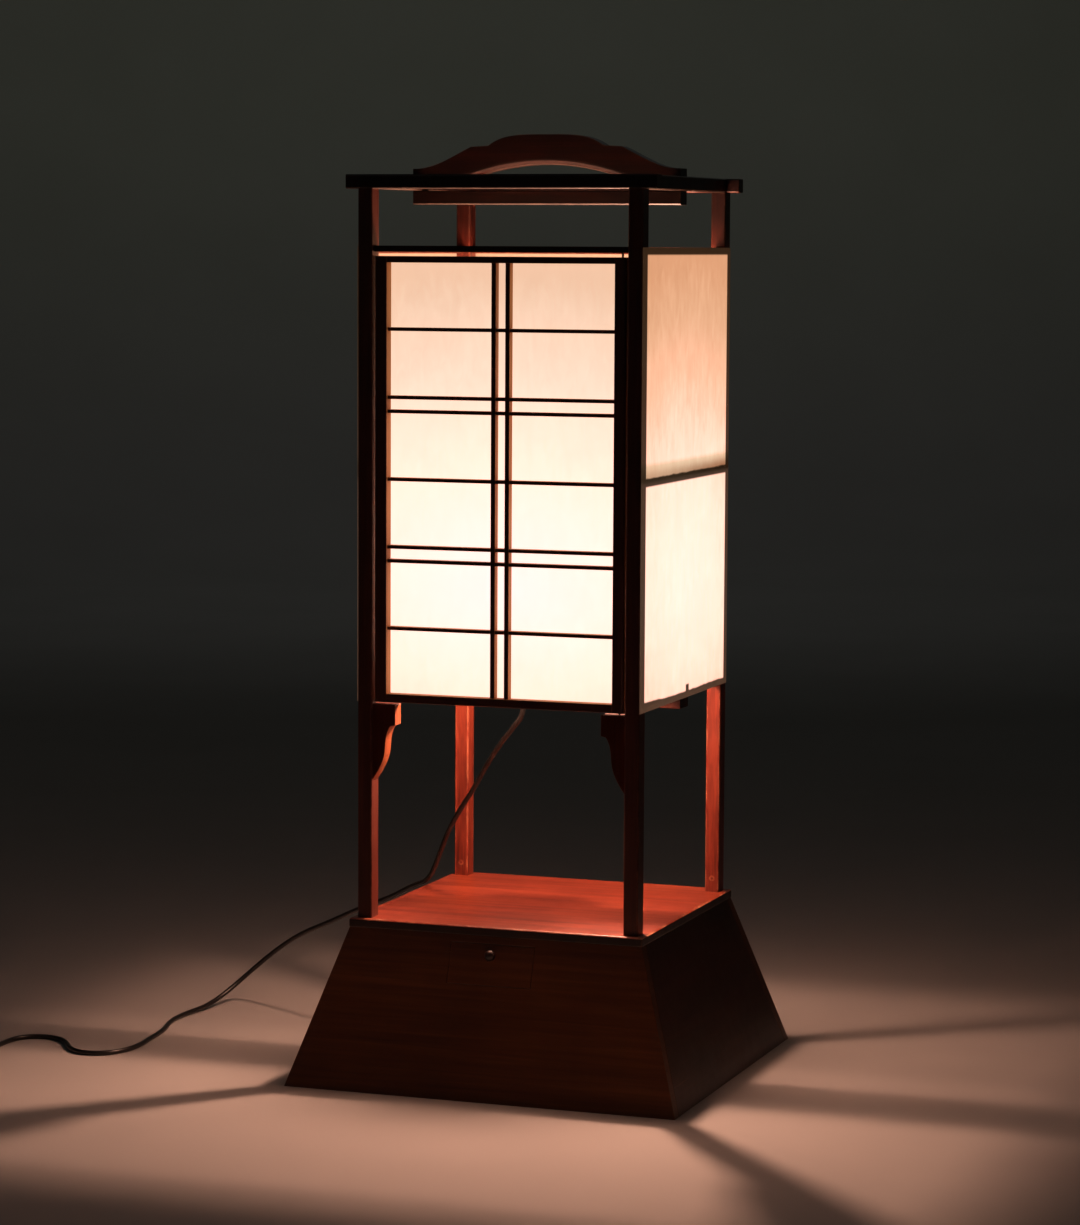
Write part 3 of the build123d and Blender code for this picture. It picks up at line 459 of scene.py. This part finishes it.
easedNodes = [
    # node, arris in mm, body, slot, wood, and a lighter copy with the test for the faces it goes
    # on: painted light where the bulb and the papers light them
    ("handle", 1.2, "frame", "frame_wood", blackAcross, sootyAcross, looksDown),
    ("handle_batten", 0.9, "frame", "frame_wood", blackAcross, paleLitAcross, looksDown),
    ("top_bar_front", 1.3, "frame", "frame_wood", blackAcross, paleLitAcross, looksDown),
    ("top_bar_back", 1.3, "frame", "frame_wood", blackAcross, woodAcross, looksDown),
    ("top_bar_left", 1.0, "frame", "frame_wood", blackDeep, paleLitDeep, looksDown),
    ("top_bar_right", 1.0, "frame", "frame_wood", blackDeep, paleLitDeep, looksDown),
    ("left_bracket", 0.8, "frame", "frame_wood", mattUpright, litScrollUpright, looksInward),
    ("right_bracket", 0.8, "frame", "frame_wood", mattUpright, litScrollUpright, looksInward),
    ("left_front_post", 0.5, "frame", "frame_wood", sootyUpright),
    ("right_front_post", 0.5, "frame", "frame_wood", sootyUpright),
    ("left_back_post", 0.5, "frame", "frame_wood", darkenedTopUpright),
    ("right_back_post", 0.5, "frame", "frame_wood", darkenedTopUpright),
    ("front_rail", 0.9, "frame", "frame_wood", blackAcross, paleLitAcross, looksUp),
    ("lamp_crossbar", 0.7, "frame", "frame_wood", sootyAcross),
    ("base_top_board", 1.4, "frame", "base_wood", blackAcross, litBoardAcross, looksUp),
    ("base_front", 0.5, "frame", "base_wood", slopeAcross),
    ("base_back", 0.5, "frame", "base_wood", slopeAcross),
    ("base_left", 0.5, "frame", "base_wood", slopeDeep),
    ("base_right", 0.5, "frame", "base_wood", slopeDeep),
    ("drawer_front", 0.5, "drawer", "base_wood", slopeAcross),
    ("door_left_stile", 0.6, "door", "frame_wood", sootyUpright, litDoorUpright, looksAside),
    ("door_right_stile", 0.6, "door", "frame_wood", sootyUpright, litDoorUpright, looksAside),
    ("door_bottom_rail", 0.6, "door", "frame_wood", sootyAcross, litDoorAcross, looksAside),
    ("door_top_rail", 0.6, "door", "frame_wood", sootyAcross, litDoorAcross, looksAside),
    ("door_lattice_bars", 0.35, "door", "frame_wood", sootyAcross, litDoorAcross, looksAside),
    ("door_lattice_uprights", 0.35, "door", "frame_wood", sootyUpright, litDoorUpright, looksAside),
    ("switch_key", 0.5, "switch", "bakelite", phenolic),
    ("plug_pins", 0.35, "frame", "brass", brass),
]
for node, arris, body, slot, material, *paintedLit in easedNodes:
    copied = nodeCopy(node)
    if node == "handle":
        roundArch(copied)
    piece = newPiece(node + "_eased", copied, body, material, [node])
    # the lighter copy paints light on the faces that catch it
    if paintedLit:
        paintedLitWood, catchesLight = paintedLit
        piece.data.materials.append(paintedLitWood)
        for face in piece.data.polygons:
            face.material_index = int(catchesLight(face.normal))
    takeArrises(piece, arris * mm)

keptNodes = {
    "frame_pegs": woodUpright, "base_corner_blocks": bareUpright, "drawer_runners": bareDeep,
    "drawer_sides": bareDeep, "drawer_bottom": bareAcross, "drawer_back": bareAcross,
    "door_pins": steel, "lamp_nipple": brass, "screw_shell": brass, "bulb_stem": brass,
}
for side, material in {"left": woodDeep, "right": woodDeep, "back": woodAcross}.items():
    for height in ("bottom", "middle", "top"):
        keptNodes[f"{side}_{height}_rail"] = material
for node, material in keptNodes.items():
    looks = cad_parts[node].data.materials
    looks.clear()
    looks.append(material)
print("wooden pieces planed and stained")


# Turned pieces: a profile of (radius, height) in mm, spun round an upright or a level axis.
turning = {"steps": 64, "crease": math.radians(32)}


def creaseCorners(piece, angle):
    crease = piece.modifiers.new("crisp_corners", "EDGE_SPLIT")
    crease.split_angle = angle


def turned(name, node, profile, material, foot=(0, 0, 0), body="frame", axis="z"):
    bm = bmesh.new()
    spots = [bm.verts.new((radius * mm, 0, height * mm)) for radius, height in profile]
    edges = [bm.edges.new(pair) for pair in zip(spots, spots[1:])]
    bmesh.ops.spin(
        bm, geom=spots + edges, cent=(0, 0, 0), axis=(0, 0, 1), dvec=(0, 0, 0), angle=math.tau,
        steps=turning["steps"], use_merge=True, use_duplicate=False)
    bmesh.ops.remove_doubles(bm, verts=bm.verts, dist=plane["weld"])
    bmesh.ops.recalc_face_normals(bm, faces=bm.faces)
    if axis == "y":
        tipped = Matrix.Rotation(math.radians(90), 3, "X")
        bmesh.ops.rotate(bm, verts=bm.verts, cent=(0, 0, 0), matrix=tipped)
    bmesh.ops.translate(bm, verts=bm.verts, vec=[value * mm for value in foot])
    piece = newPiece(name, bm, body, material, [node], smooth=True)
    creaseCorners(piece, turning["crease"])
    return piece


globe = {
    "centre": 445.8,
    "radius": 30.0,
    "shoulder": math.radians(50),
    "neck": 12.0,
    "neckTop": 402.8,
    "foot": 390.8,
    "footRound": (0.6, 0.8),
    "hollow": 1.3,
    "neckSteps": 8,
    "domeSteps": 28,
}


def globeProfile():
    centre, radius, shoulder = globe["centre"], globe["radius"], globe["shoulder"]
    neck, foot = globe["neck"], globe["foot"]
    inset, lift = globe["footRound"]
    start = Vector((neck, globe["neckTop"]))
    end = Vector((radius * math.cos(shoulder), centre - radius * math.sin(shoulder)))
    profile = [(0, foot), (neck - inset, foot), (neck, foot + lift)]
    for step in range(globe["neckSteps"] + 1):
        share = step / globe["neckSteps"]
        spot = start.lerp(end, share)
        spot.x -= globe["hollow"] * math.sin(math.pi * share)
        profile.append((spot.x, spot.y))
    for step in range(1, globe["domeSteps"] + 1):
        angle = -shoulder + (shoulder + math.pi / 2) * step / globe["domeSteps"]
        profile.append((radius * math.cos(angle), centre + radius * math.sin(angle)))
    return profile


globeBulb = turned("globe_bulb", "bulb_glass", globeProfile(), frostedGlass)
globeBulb.visible_shadow = False  # the light inside shines through the glass

screwCap = {
    "contact": [(0, 365.3), (3.6, 365.3), (4.5, 366.2), (4.6, 367.9), (8.5, 368.4), (12.2, 370.6)],
    "radius": 13.1,
    "threadFrom": 372.0,
    "threadTo": 387.5,
    "threadDepth": 0.55,
    "pitch": 3.6,
    "steps": 52,
    "rim": [(12.9, 388.6), (12.9, 390.3), (12.3, 390.8), (0, 390.8)],
}


def capProfile():
    low, high = screwCap["threadFrom"], screwCap["threadTo"]
    profile = list(screwCap["contact"])
    for step in range(screwCap["steps"] + 1):
        level = low + (high - low) * step / screwCap["steps"]
        wave = math.cos((level - low) / screwCap["pitch"] * math.tau)
        profile.append((screwCap["radius"] - screwCap["threadDepth"] * (1 + wave) / 2, level))
    return profile + screwCap["rim"]


turned("screw_cap", "bulb_cap", capProfile(), brass)

holderProfile = [
    (5.1, 351.3), (17.2, 351.3), (18.0, 352.1), (18.0, 353.6), (17.3, 354.1), (17.3, 355.0),
    (18.0, 355.5), (18.0, 363.4), (18.4, 365.2), (19.4, 366.8), (20.0, 368.6), (20.0, 371.0),
    (19.4, 371.5), (19.4, 372.3), (20.0, 372.8), (20.0, 385.2), (19.4, 385.7), (19.4, 386.5),
    (20.0, 387.0), (20.0, 388.5), (19.2, 389.3), (18.0, 389.3), (17.5, 388.8), (17.5, 365.5),
    (0, 365.4),
]
turned("holder_shell", "lampholder_body", holderProfile, phenolic)

discProfile = [
    (5.1, 343.3), (28.4, 343.3), (29.0, 343.9), (29.0, 346.2), (28.2, 347.6), (26.6, 348.4),
    (25.2, 349.0), (24.4, 350.2), (23.0, 351.0), (21.4, 351.3), (5.1, 351.3),
]
turned("base_disc", "lamp_base", discProfile, phenolic)

bush = {
    "place": (-22.0, 0, 0),
    "tip": 326.6,
    "tipRadius": 2.75,
    "waist": 334.6,
    "waistRadius": 3.5,
    "rings": 4,
    "ringSteps": 8,
    "cut": 0.35,
    "lip": (0.2, 0.3),
    "head": [(5.0, 343.3), (5.0, 349.3), (0, 349.3)],
}


def bushProfile():
    tip, waist, radiusLow, radiusHigh = (
        bush[key] for key in ("tip", "waist", "tipRadius", "waistRadius"))
    inset, lift = bush["lip"]
    profile = [(0, tip), (radiusLow - inset, tip), (radiusLow, tip + lift)]
    steps = bush["rings"] * bush["ringSteps"]
    for step in range(1, steps):
        share = step / steps
        radius = radiusLow + (radiusHigh - radiusLow) * share
        radius -= bush["cut"] * (1 - math.cos(share * bush["rings"] * math.tau)) / 2
        profile.append((radius, tip + lift + (waist - tip - 2 * lift) * share))
    return profile + [(radiusHigh, waist)] + bush["head"]


turned("ribbed_bush", "cord_bush", bushProfile(), phenolic, foot=bush["place"])

knobLow, knobHigh = (Vector(corner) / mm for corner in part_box("drawer_knob"))
knobPlace = (0, knobHigh.y, (knobLow.z + knobHigh.z) / 2)
knobProfile = [
    (0, 15.0), (1.4, 14.9), (3.0, 14.2), (4.2, 13.0), (4.9, 11.4), (5.0, 10.6), (4.7, 9.7),
    (3.6, 9.1), (2.6, 8.4), (2.3, 7.4), (2.5, 6.2), (3.1, 5.9), (2.5, 5.6), (2.5, 0.1), (0, 0),
]
turned("turned_knob", "drawer_knob", knobProfile, blackDeep, foot=knobPlace,
       body="drawer", axis="y")
print("turned pieces made")

plug = {
    "place": (-558.0, -148.0, 7.6),
    "segments": 24,
    "square": 0.62,
    "crease": math.radians(52),
    # distance from the rear face, width and height, in mm
    "stations": [
        (-9.0, 5.2, 5.2), (-8.0, 6.0, 6.0), (-5.0, 6.6, 6.4), (-1.0, 8.2, 7.6), (1.0, 12.6, 10.4),
        (3.5, 18.6, 13.2), (6.5, 21.4, 14.6), (8.0, 21.8, 14.8), (8.6, 20.4, 13.8),
        (10.0, 20.4, 13.8), (10.6, 21.8, 14.8), (12.2, 21.8, 14.8), (12.8, 20.4, 13.8),
        (14.2, 20.4, 13.8), (14.8, 21.8, 14.8), (16.4, 21.8, 14.8), (17.0, 20.4, 13.8),
        (18.4, 20.4, 13.8), (19.0, 21.9, 14.9), (24.0, 22.0, 15.0), (29.0, 22.0, 15.0),
        (30.0, 20.6, 13.6),
    ],
}


def squared(value):  # pushes a circle's points out towards a square
    return math.copysign(abs(value * 2) ** plug["square"] / 2, value)


def plugShell():
    bm = bmesh.new()
    ring = bmesh.ops.create_circle(
        bm, cap_ends=True, segments=plug["segments"], radius=0.5)["verts"]
    for vertex in ring:
        vertex.co.x = squared(vertex.co.x)
        vertex.co.y = squared(vertex.co.y)
    outline = [vertex.co.copy() for vertex in ring]
    (face,) = bm.faces
    for index, (along, width, height) in enumerate(plug["stations"]):
        if index:
            (face,) = bmesh.ops.extrude_discrete_faces(bm, faces=[face])["faces"]
        for vertex in face.verts:
            way = vertex.co.xy.normalized()
            spot = min(outline, key=lambda point: (point.xy.normalized() - way).length)
            vertex.co = Vector((spot.x * width, spot.y * height, along)) * mm
    lying = Matrix.Rotation(math.radians(-90), 3, "X")
    bmesh.ops.rotate(bm, verts=bm.verts, cent=(0, 0, 0), matrix=lying)
    bmesh.ops.translate(bm, verts=bm.verts, vec=[value * mm for value in plug["place"]])
    bmesh.ops.recalc_face_normals(bm, faces=bm.faces)
    shell = newPiece("plug_shell", bm, "frame", phenolic, ["plug_body"], smooth=True)
    creaseCorners(shell, plug["crease"])
    return shell


plugPiece = plugShell()
print("plug moulded")


# Papers: lit from inside, brightest at the bulb's level, grey where posts and rails lie behind.
paperLight = {
    "centre": 0.4458,
    "reach": 0.300,
    "below": 1.25,  # the light dies away faster below the bulb
    "belowSoft": 0.002,
    "redder": 0.55,  # extra red near the bulb, past white for the eye but not for the wood
    "redderReach": (0.85, 0.35),
    "lit": (0.26, 0.235, 0.195),
    "overWood": (0.31, 0.29, 0.225),
    "seeping": (0.046, 0.044, 0.037),  # share of the glow that creeps under the pasted borders
    "edge": 0.0009,
    "ragged": 0.0022,
}
pulp = {
    "clouds": 0.45,  # these four are shares of the mould
    "strands": 0.55,
    "fibres": 0.30,
    "flecks": 0.10,
    "glow": 0.6,  # how far the mould sways the glow, and its sheen
    "sheen": 0.55,
    "roughness": 0.72,
    "fibreRoughness": 0.15,
    "specular": 0.25,
    "relief": 0.00008,
}
# the shadow that the middle rail casts up on the side papers, painted
railShadowBand = {
    "low": 0.5432,
    "rail": 0.5472,
    "top": 0.5592,
    "soft": 0.0024,
    "light": (0.93, 0.77, 0.66),
    "deep": (0.40, 0.225, 0.150),
    "leftDepth": 0.6,
}
raisedFoot = {"from": 0.085, "to": -0.010, "height": 0.0029}  # the lowest edge's left end
wallStops = [
    (0.00, (0.985, 0.965, 0.795)), (0.28, (0.975, 0.885, 0.695)), (0.45, (0.965, 0.762, 0.568)),
    (0.63, (0.950, 0.575, 0.368)), (0.80, (0.845, 0.450, 0.258)), (0.95, (0.755, 0.360, 0.190)),
]
doorStops = [
    (0.00, (0.985, 0.972, 0.910)), (0.20, (0.985, 0.968, 0.840)), (0.38, (0.985, 0.930, 0.745)),
    (0.60, (0.972, 0.785, 0.608)), (0.80, (0.962, 0.655, 0.475)), (0.92, (0.890, 0.560, 0.380)),
]
wallSheet = {
    "across": "Y",
    "wide": 0.75,
    "stops": wallStops,
    "texture": 0.5,
    "pasted": True,
    "left": -0.1165,
    "right": 0.1195,
    "windows": [(0.3494, 0.5398), (0.5472, 0.7402)],
    "pegs": [(0.008, 0.3552, 0.0046)],  # the crossbar's peg, seen as a shadow
}
backSheet = dict(wallSheet, across="X", left=-0.1185, right=0.1185, pegs=[])
doorSheet = {
    "across": "X",
    "wide": 0.70,
    "stops": doorStops,
    "texture": 0.25,
    "pasted": False,
    "windows": [(0.3503, 0.7323)],
}


def paintedRailShadow(s, sheet, level, sideways):
    # the middle rail's shadow, painted on the paper just above the rail: its share, and its tint
    share = s.band(level, railShadowBand["low"], railShadowBand["top"], railShadowBand["soft"])
    shaded = s.ease(sideways, sheet["left"], sheet["right"], railShadowBand["leftDepth"], 1.0)
    depth = s.ease(level, railShadowBand["top"], railShadowBand["rail"]) * shaded
    return share, s.blend(depth, opaque(railShadowBand["light"]), opaque(railShadowBand["deep"]))


def openShare(s, sheet, level, height, sideways):
    # 1 over an opening, 0 where wood or a peg lies behind the paper
    left, right, soft = sheet["left"], sheet["right"], paperLight["edge"]
    rows = 0
    for index, (low, high) in enumerate(sheet["windows"]):
        foot = level
        if index == 0:
            foot = level - s.ease(sideways, left + raisedFoot["from"], left + raisedFoot["to"],
                                  0.0, raisedFoot["height"])
        rows = s.rise(foot, low, soft) * s.fall(height, high, soft) + rows
    opening = s.band(sideways, left, right, soft) * rows
    for middle, top, half in sheet["pegs"]:
        shade = s.band(sideways, middle - half, middle + half, soft) * s.fall(height, top, soft)
        opening = opening * (1.0 - shade)
    return opening


def paper(name, sheet):
    s = Shader(name)
    sideways = s.axis(sheet["across"])
    height = s.axis("Z")
    drop = height - paperLight["centre"]
    soft = paperLight["belowSoft"]
    drop = drop * s.ease(drop, -soft, soft, paperLight["below"], 1.0)
    spread = sideways * sideways * sheet["wide"] ** 2
    away = ((drop * drop + spread) ** 0.5) / paperLight["reach"]

    long, longer = s.stretched((1.0, 1.0, 0.30)), s.stretched((1.0, 1.0, 0.16))
    cloud = s.noise(s.place, 20.0, detail=5.0, roughness=0.6, distortion=0.6)
    strand = s.noise(long, 120.0, detail=3.0, roughness=0.55, distortion=1.0)
    fibre = s.noise(longer, 300.0, detail=4.0, roughness=0.6, distortion=0.8)
    fleck = s.noise(s.place, 1400.0, detail=2.0)
    coarse = (cloud - 0.5) * pulp["clouds"] + (strand - 0.5) * pulp["strands"]
    mould = coarse + (fibre - 0.5) * pulp["fibres"] + (fleck - 0.5) * pulp["flecks"]

    glow = s.ramp(away + mould * (pulp["glow"] * sheet["texture"]), sheet["stops"])
    sheen = 1.0 - mould * (pulp["sheen"] * sheet["texture"])
    redder = s.ease(away, *paperLight["redderReach"], 0.0, paperLight["redder"])
    lit = paperLight["lit"]
    base = s.ramp(fibre, [(0.3, scaled(lit, 0.9)), (0.7, lit)])
    if sheet["pasted"]:
        torn = s.noise(s.place, 70.0, detail=3.0, roughness=0.6)
        level = height + (torn - 0.5) * paperLight["ragged"]
        # painted shadow of the middle rail
        railShadow, tint = paintedRailShadow(s, sheet, level, sideways)
        glow = s.blend(railShadow, glow, s.tinted(glow, tint))
        redder = redder * (1.0 - railShadow)
    glow = s.tinted(glow, s.channels(sheen * (redder + 1.0), sheen, sheen))
    if sheet["pasted"]:
        opening = openShare(s, sheet, level, height, sideways)
        base = s.blend(opening, opaque(paperLight["overWood"]), base)
        glow = s.blend(opening, s.tinted(glow, opaque(paperLight["seeping"])), glow)
    return s.finish({
        "Base Color": base,
        "Roughness": pulp["roughness"] + fibre * pulp["fibreRoughness"],
        "Specular IOR Level": pulp["specular"],
        "Emission Color": glow,
        "Emission Strength": 1.0,
        "Normal": s.bump(fibre * 0.5 + fleck * 0.5, pulp["relief"]),
    })


slackPaper = {
    "thickness": 0.4 * mm,
    "cell": 6 * mm,
    "rim": 12 * mm,
    "ripple": 0.45 * mm,
    "scale": 26.0,
    "across": 1.6,
    "upwards": 0.8,
    "shift": 0.37,
}


def pasteSheet(name, node, body, turn, material, windows):
    # a grid in the node's plane, a little slack between the woods that it is pasted to
    low, high = (Vector(corner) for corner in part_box(node))
    size = high - low
    across = size.x if turn == 0 else size.y
    middle = (low + high) / 2
    rim, cell = slackPaper["rim"], slackPaper["cell"]
    bm = bmesh.new()
    bmesh.ops.create_grid(
        bm, x_segments=round(across / cell), y_segments=round(size.z / cell), size=0.5)
    bmesh.ops.scale(bm, verts=bm.verts, vec=(across, size.z, 1.0))
    for vertex in bm.verts:
        side = across / 2 - abs(vertex.co.x)
        level = vertex.co.y + middle.z
        inside = min(side - rim, max(min(level - foot, head - level) for foot, head in windows))
        loose = max(0.0, min(1.0, inside / (2 * rim)))
        spot = Vector((vertex.co.x * slackPaper["across"], level * slackPaper["upwards"],
                       len(name) * slackPaper["shift"])) * slackPaper["scale"]
        vertex.co.z = loose * slackPaper["ripple"] * noise.noise(spot)
    bmesh.ops.recalc_face_normals(bm, faces=bm.faces)
    bmesh.ops.solidify(bm, geom=bm.faces, thickness=slackPaper["thickness"])
    depth = sum(vertex.co.z for vertex in bm.verts) / len(bm.verts)
    bmesh.ops.translate(bm, verts=bm.verts, vec=(0, 0, -depth))
    stand = Matrix.Rotation(math.radians(90), 4, "X")
    facing = Matrix.Rotation(math.radians(turn), 4, "Z")
    placed = Matrix.Translation(middle) @ facing @ stand
    bmesh.ops.transform(bm, verts=bm.verts, matrix=placed)
    bmesh.ops.recalc_face_normals(bm, faces=bm.faces)
    sheet = newPiece(name, bm, body, material, [node], smooth=True)


wallPaper = paper("wall_paper", wallSheet)
backPaper = paper("back_paper", backSheet)
doorPaper = paper("door_paper", doorSheet)
pasteSheet("right_wall_paper", "right_paper", "frame", 90, wallPaper, wallSheet["windows"])
pasteSheet("left_wall_paper", "left_paper", "frame", 90, wallPaper, wallSheet["windows"])
pasteSheet("back_wall_paper", "back_paper", "frame", 0, backPaper, backSheet["windows"])
pasteSheet("door_backing_paper", "door_paper", "door", 0, doorPaper, doorSheet["windows"])
print("papers pasted")


# The cord: distances in mm, but its length and diameter in metres.
cordSizes = {
    "diameter": 0.0046,
    "length": 1.72,
    "rest": 2.4,  # its middle above the floor
    "coilX": -527.0,
    "coilY": -180.0,
    "outer": 31.0,
    "inner": 21.4,
    "layer": 4.7,
    "turns": 4.5,
    "lowTurns": 2,
    "perTurn": 16,
    "swing": 2.2,
}
rest = cordSizes["rest"]
lead = [
    (-22, 0, 326.6), (-22.6, 0.3, 319.5), (-33, 5, 308), (-49, 12, 290.5), (-65, 18.5, 268.5),
    (-80, 25.5, 245), (-96, 32, 224), (-111, 39, 201), (-122, 43.5, 175), (-133, 48.5, 153),
    (-153, 57.5, 145.5), (-180, 71, 130.5), (-222, 91, 113), (-262, 112, 93.5), (-302, 131, 75.5),
    (-337, 145, 52), (-362, 144, 30), (-378, 125, 12.5), (-386, 98, 4.2), (-394, 66, rest),
    (-393, 30, rest), (-381, -8, rest), (-377, -46, rest), (-373, -76, rest), (-375, -102, rest),
    (-386, -122, rest), (-407, -128, rest), (-426, -117, rest), (-439, -97, rest),
    (-451, -83, rest), (-468, -76, rest), (-486, -80, rest), (-496, -96, rest),
    (-496, -120, rest), (-494, -142, rest), (-495, -162, rest),
]
tail = [(-557.5, -172, 7.2), (-558, -160, 7.6), (-558, -148, 7.6)]


def coilPoint(turn):
    # inwards on the floor, across at the middle, outwards on top
    outer, inner, layer = cordSizes["outer"], cordSizes["inner"], cordSizes["layer"]
    floorEnd = cordSizes["lowTurns"]
    topStart = floorEnd + 1
    if turn < floorEnd:
        radius = outer - (outer - inner) * turn / floorEnd
        rise = 0.0
    elif turn < topStart:
        radius = inner - cordSizes["swing"] * math.sin(math.pi * (turn - floorEnd))
        rise = layer * (turn - floorEnd)
    else:
        radius = inner + (outer - inner) * (turn - topStart) / (cordSizes["turns"] - topStart)
        rise = layer
    angle = -turn * math.tau
    x = cordSizes["coilX"] + radius * math.cos(angle)
    y = cordSizes["coilY"] + radius * math.sin(angle)
    return (x, y, rest + rise)


steps = round(cordSizes["turns"] * cordSizes["perTurn"])
route = lead + [coilPoint(step / cordSizes["perTurn"]) for step in range(steps + 1)] + tail
curve = bpy.data.curves.new("mains_cord", "CURVE")
curve.dimensions = "3D"
curve.bevel_depth = cordSizes["diameter"] / 2
curve.bevel_resolution = 5
curve.use_fill_caps = True
spline = curve.splines.new("NURBS")
spline.points.add(len(route) - 1)
for point, spot in zip(spline.points, route):
    point.co = (*(value * mm for value in spot), 1)
spline.order_u = 3
spline.use_endpoint_u = True
spline.resolution_u = 8
cord = bpy.data.objects.new("mains_cord", curve)
bpy.context.scene.collection.objects.link(cord)
curve.materials.append(sheath)
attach(cord, "frame")
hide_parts("cord_lead", "cord_coil")
print("cord laid")


studio = {
    "radius": 6.5,
    "wallHeight": 5.0,
    "sweep": 1.6,
    "segments": 96,
    "sweepSteps": 12,
    "floorTints": [(0.3, (0.43, 0.42, 0.405)), (0.7, (0.46, 0.45, 0.435))],
    "wallTints": [(0.3, (0.57, 0.60, 0.49)), (0.7, (0.61, 0.64, 0.53))],
    "paintLevels": (0.02, 1.2),
    "world": (0.60, 0.62, 0.58),
    "worldStrength": 0.0085,
    # place, target, watts, side length
    "lights": {
        "key": ((-2.2, -3.0, 3.6), (0, 0, 0.4), 2.4, 2.6),
        "fill": ((3.2, -1.4, 2.2), (0, 0, 0.4), 0.3, 2.4),
        "rear": ((-1.0, 3.4, 2.8), (0, 0, 0.4), 0.6, 2.6),
        "wash": ((-1.4, 3.6, 2.9), (-2.6, 6.4, 1.5), 3.2, 2.0),
    },
}
view = {
    "place": (1.13011, -3.18073, 0.74799),
    "yaw": -0.343085,
    "pitch": -0.0981899,
    "roll": 0.00517344,
    "lens": 109.55,
    "sensor": 36.0,
}


def roomPaint():
    s = Shader("plain_room")
    mottle = s.noise(s.place, 3.0, detail=3.0)
    height = s.ease(s.axis("Z"), *studio["paintLevels"])
    floor, wall = s.ramp(mottle, studio["floorTints"]), s.ramp(mottle, studio["wallTints"])
    return s.finish({
        "Base Color": s.blend(height, floor, wall),
        "Roughness": 0.8,
        "Specular IOR Level": 0.15,
    })


def sweptRoom():
    # one round floor that turns up into a wall
    sweep, steps = studio["sweep"], studio["sweepSteps"]
    bm = bmesh.new()
    bmesh.ops.create_circle(
        bm, cap_ends=True, segments=studio["segments"], radius=studio["radius"] - sweep)
    edges = bm.edges[:]
    for step in range(1, steps + 2):
        grown = bmesh.ops.extrude_edge_only(bm, edges=edges)["geom"]
        verts = [item for item in grown if isinstance(item, bmesh.types.BMVert)]
        edges = [item for item in grown if isinstance(item, bmesh.types.BMEdge)]
        angle = min(step / steps, 1) * math.pi / 2
        radius = studio["radius"] - sweep * (1 - math.sin(angle))
        level = sweep * (1 - math.cos(angle)) if step <= steps else studio["wallHeight"]
        for vertex in verts:
            spot = vertex.co.xy.normalized() * radius
            vertex.co = (spot.x, spot.y, level)
    mesh = bpy.data.meshes.new("swept_room")
    bm.to_mesh(mesh)
    bm.free()
    for face in mesh.polygons:
        face.use_smooth = len(face.vertices) == 4
    room = bpy.data.objects.new("swept_room", mesh)
    bpy.context.scene.collection.objects.link(room)
    mesh.materials.append(roomPaint())


def newLamp(name, kind, place, watts, tint):
    light = bpy.data.lights.new(name, kind)
    light.energy = watts
    light.color = tint
    lamp = bpy.data.objects.new(name, light)
    lamp.location = place
    lamp.visible_camera = False
    bpy.context.scene.collection.objects.link(lamp)
    return lamp


def softBox(name, place, target, watts, size, tint=(1, 1, 1), shape="SQUARE"):
    lamp = newLamp(name, "AREA", place, watts, tint)
    lamp.data.size = size
    lamp.data.shape = shape
    lamp.rotation_euler = (Vector(target) - Vector(place)).to_track_quat("-Z", "Y").to_euler()


def bulbGlow():
    # the filament shines all round, and more towards the door
    place, tint, radius = bulbLight["place"], bulbLight["tint"], bulbLight["radius"]
    filament = newLamp("bulb_glow", "POINT", place, bulbLight["watts"], tint)
    filament.data.shadow_soft_size = radius
    ahead = Vector(place) + Vector(bulbLight["forward"])
    softBox("bulb_forward_glow", place, ahead, bulbLight["forwardWatts"], radius * 2, tint, "DISK")
    # the papers throw some of it down on the base
    above = bulbLight["throwPlace"]
    below = Vector(above) - Vector((0, 0, 1))
    softBox("paper_throw", above, below, bulbLight["throwWatts"], bulbLight["throwSize"], tint)


def dimRoomLight():
    world = bpy.data.worlds.new("soft_room")
    world.use_nodes = True
    background = world.node_tree.nodes["Background"].inputs
    background["Color"].default_value = opaque(studio["world"])
    background["Strength"].default_value = studio["worldStrength"]
    bpy.context.scene.world = world


def placeCamera():
    yaw, pitch, roll = view["yaw"], view["pitch"], view["roll"]
    forward = Vector((math.sin(yaw) * math.cos(pitch), math.cos(yaw) * math.cos(pitch),
                      math.sin(pitch)))
    right = forward.cross(Vector((0, 0, 1))).normalized()
    up = right.cross(forward)
    tiltedRight = right * math.cos(roll) + up * math.sin(roll)
    tiltedUp = up * math.cos(roll) - right * math.sin(roll)
    data = bpy.data.cameras.new("camera")
    data.lens = view["lens"]
    data.sensor_width = view["sensor"]
    camera = bpy.data.objects.new("camera", data)
    bpy.context.scene.collection.objects.link(camera)
    axes = Matrix((tiltedRight, tiltedUp, -forward)).transposed().to_4x4()
    camera.matrix_world = Matrix.Translation(view["place"]) @ axes
    bpy.context.scene.camera = camera


sweptRoom()
bulbGlow()
for name, setting in studio["lights"].items():
    softBox(name + "_light", *setting)
dimRoomLight()
bpy.context.scene.view_settings.view_transform = "Standard"
placeCamera()
print("studio lit")
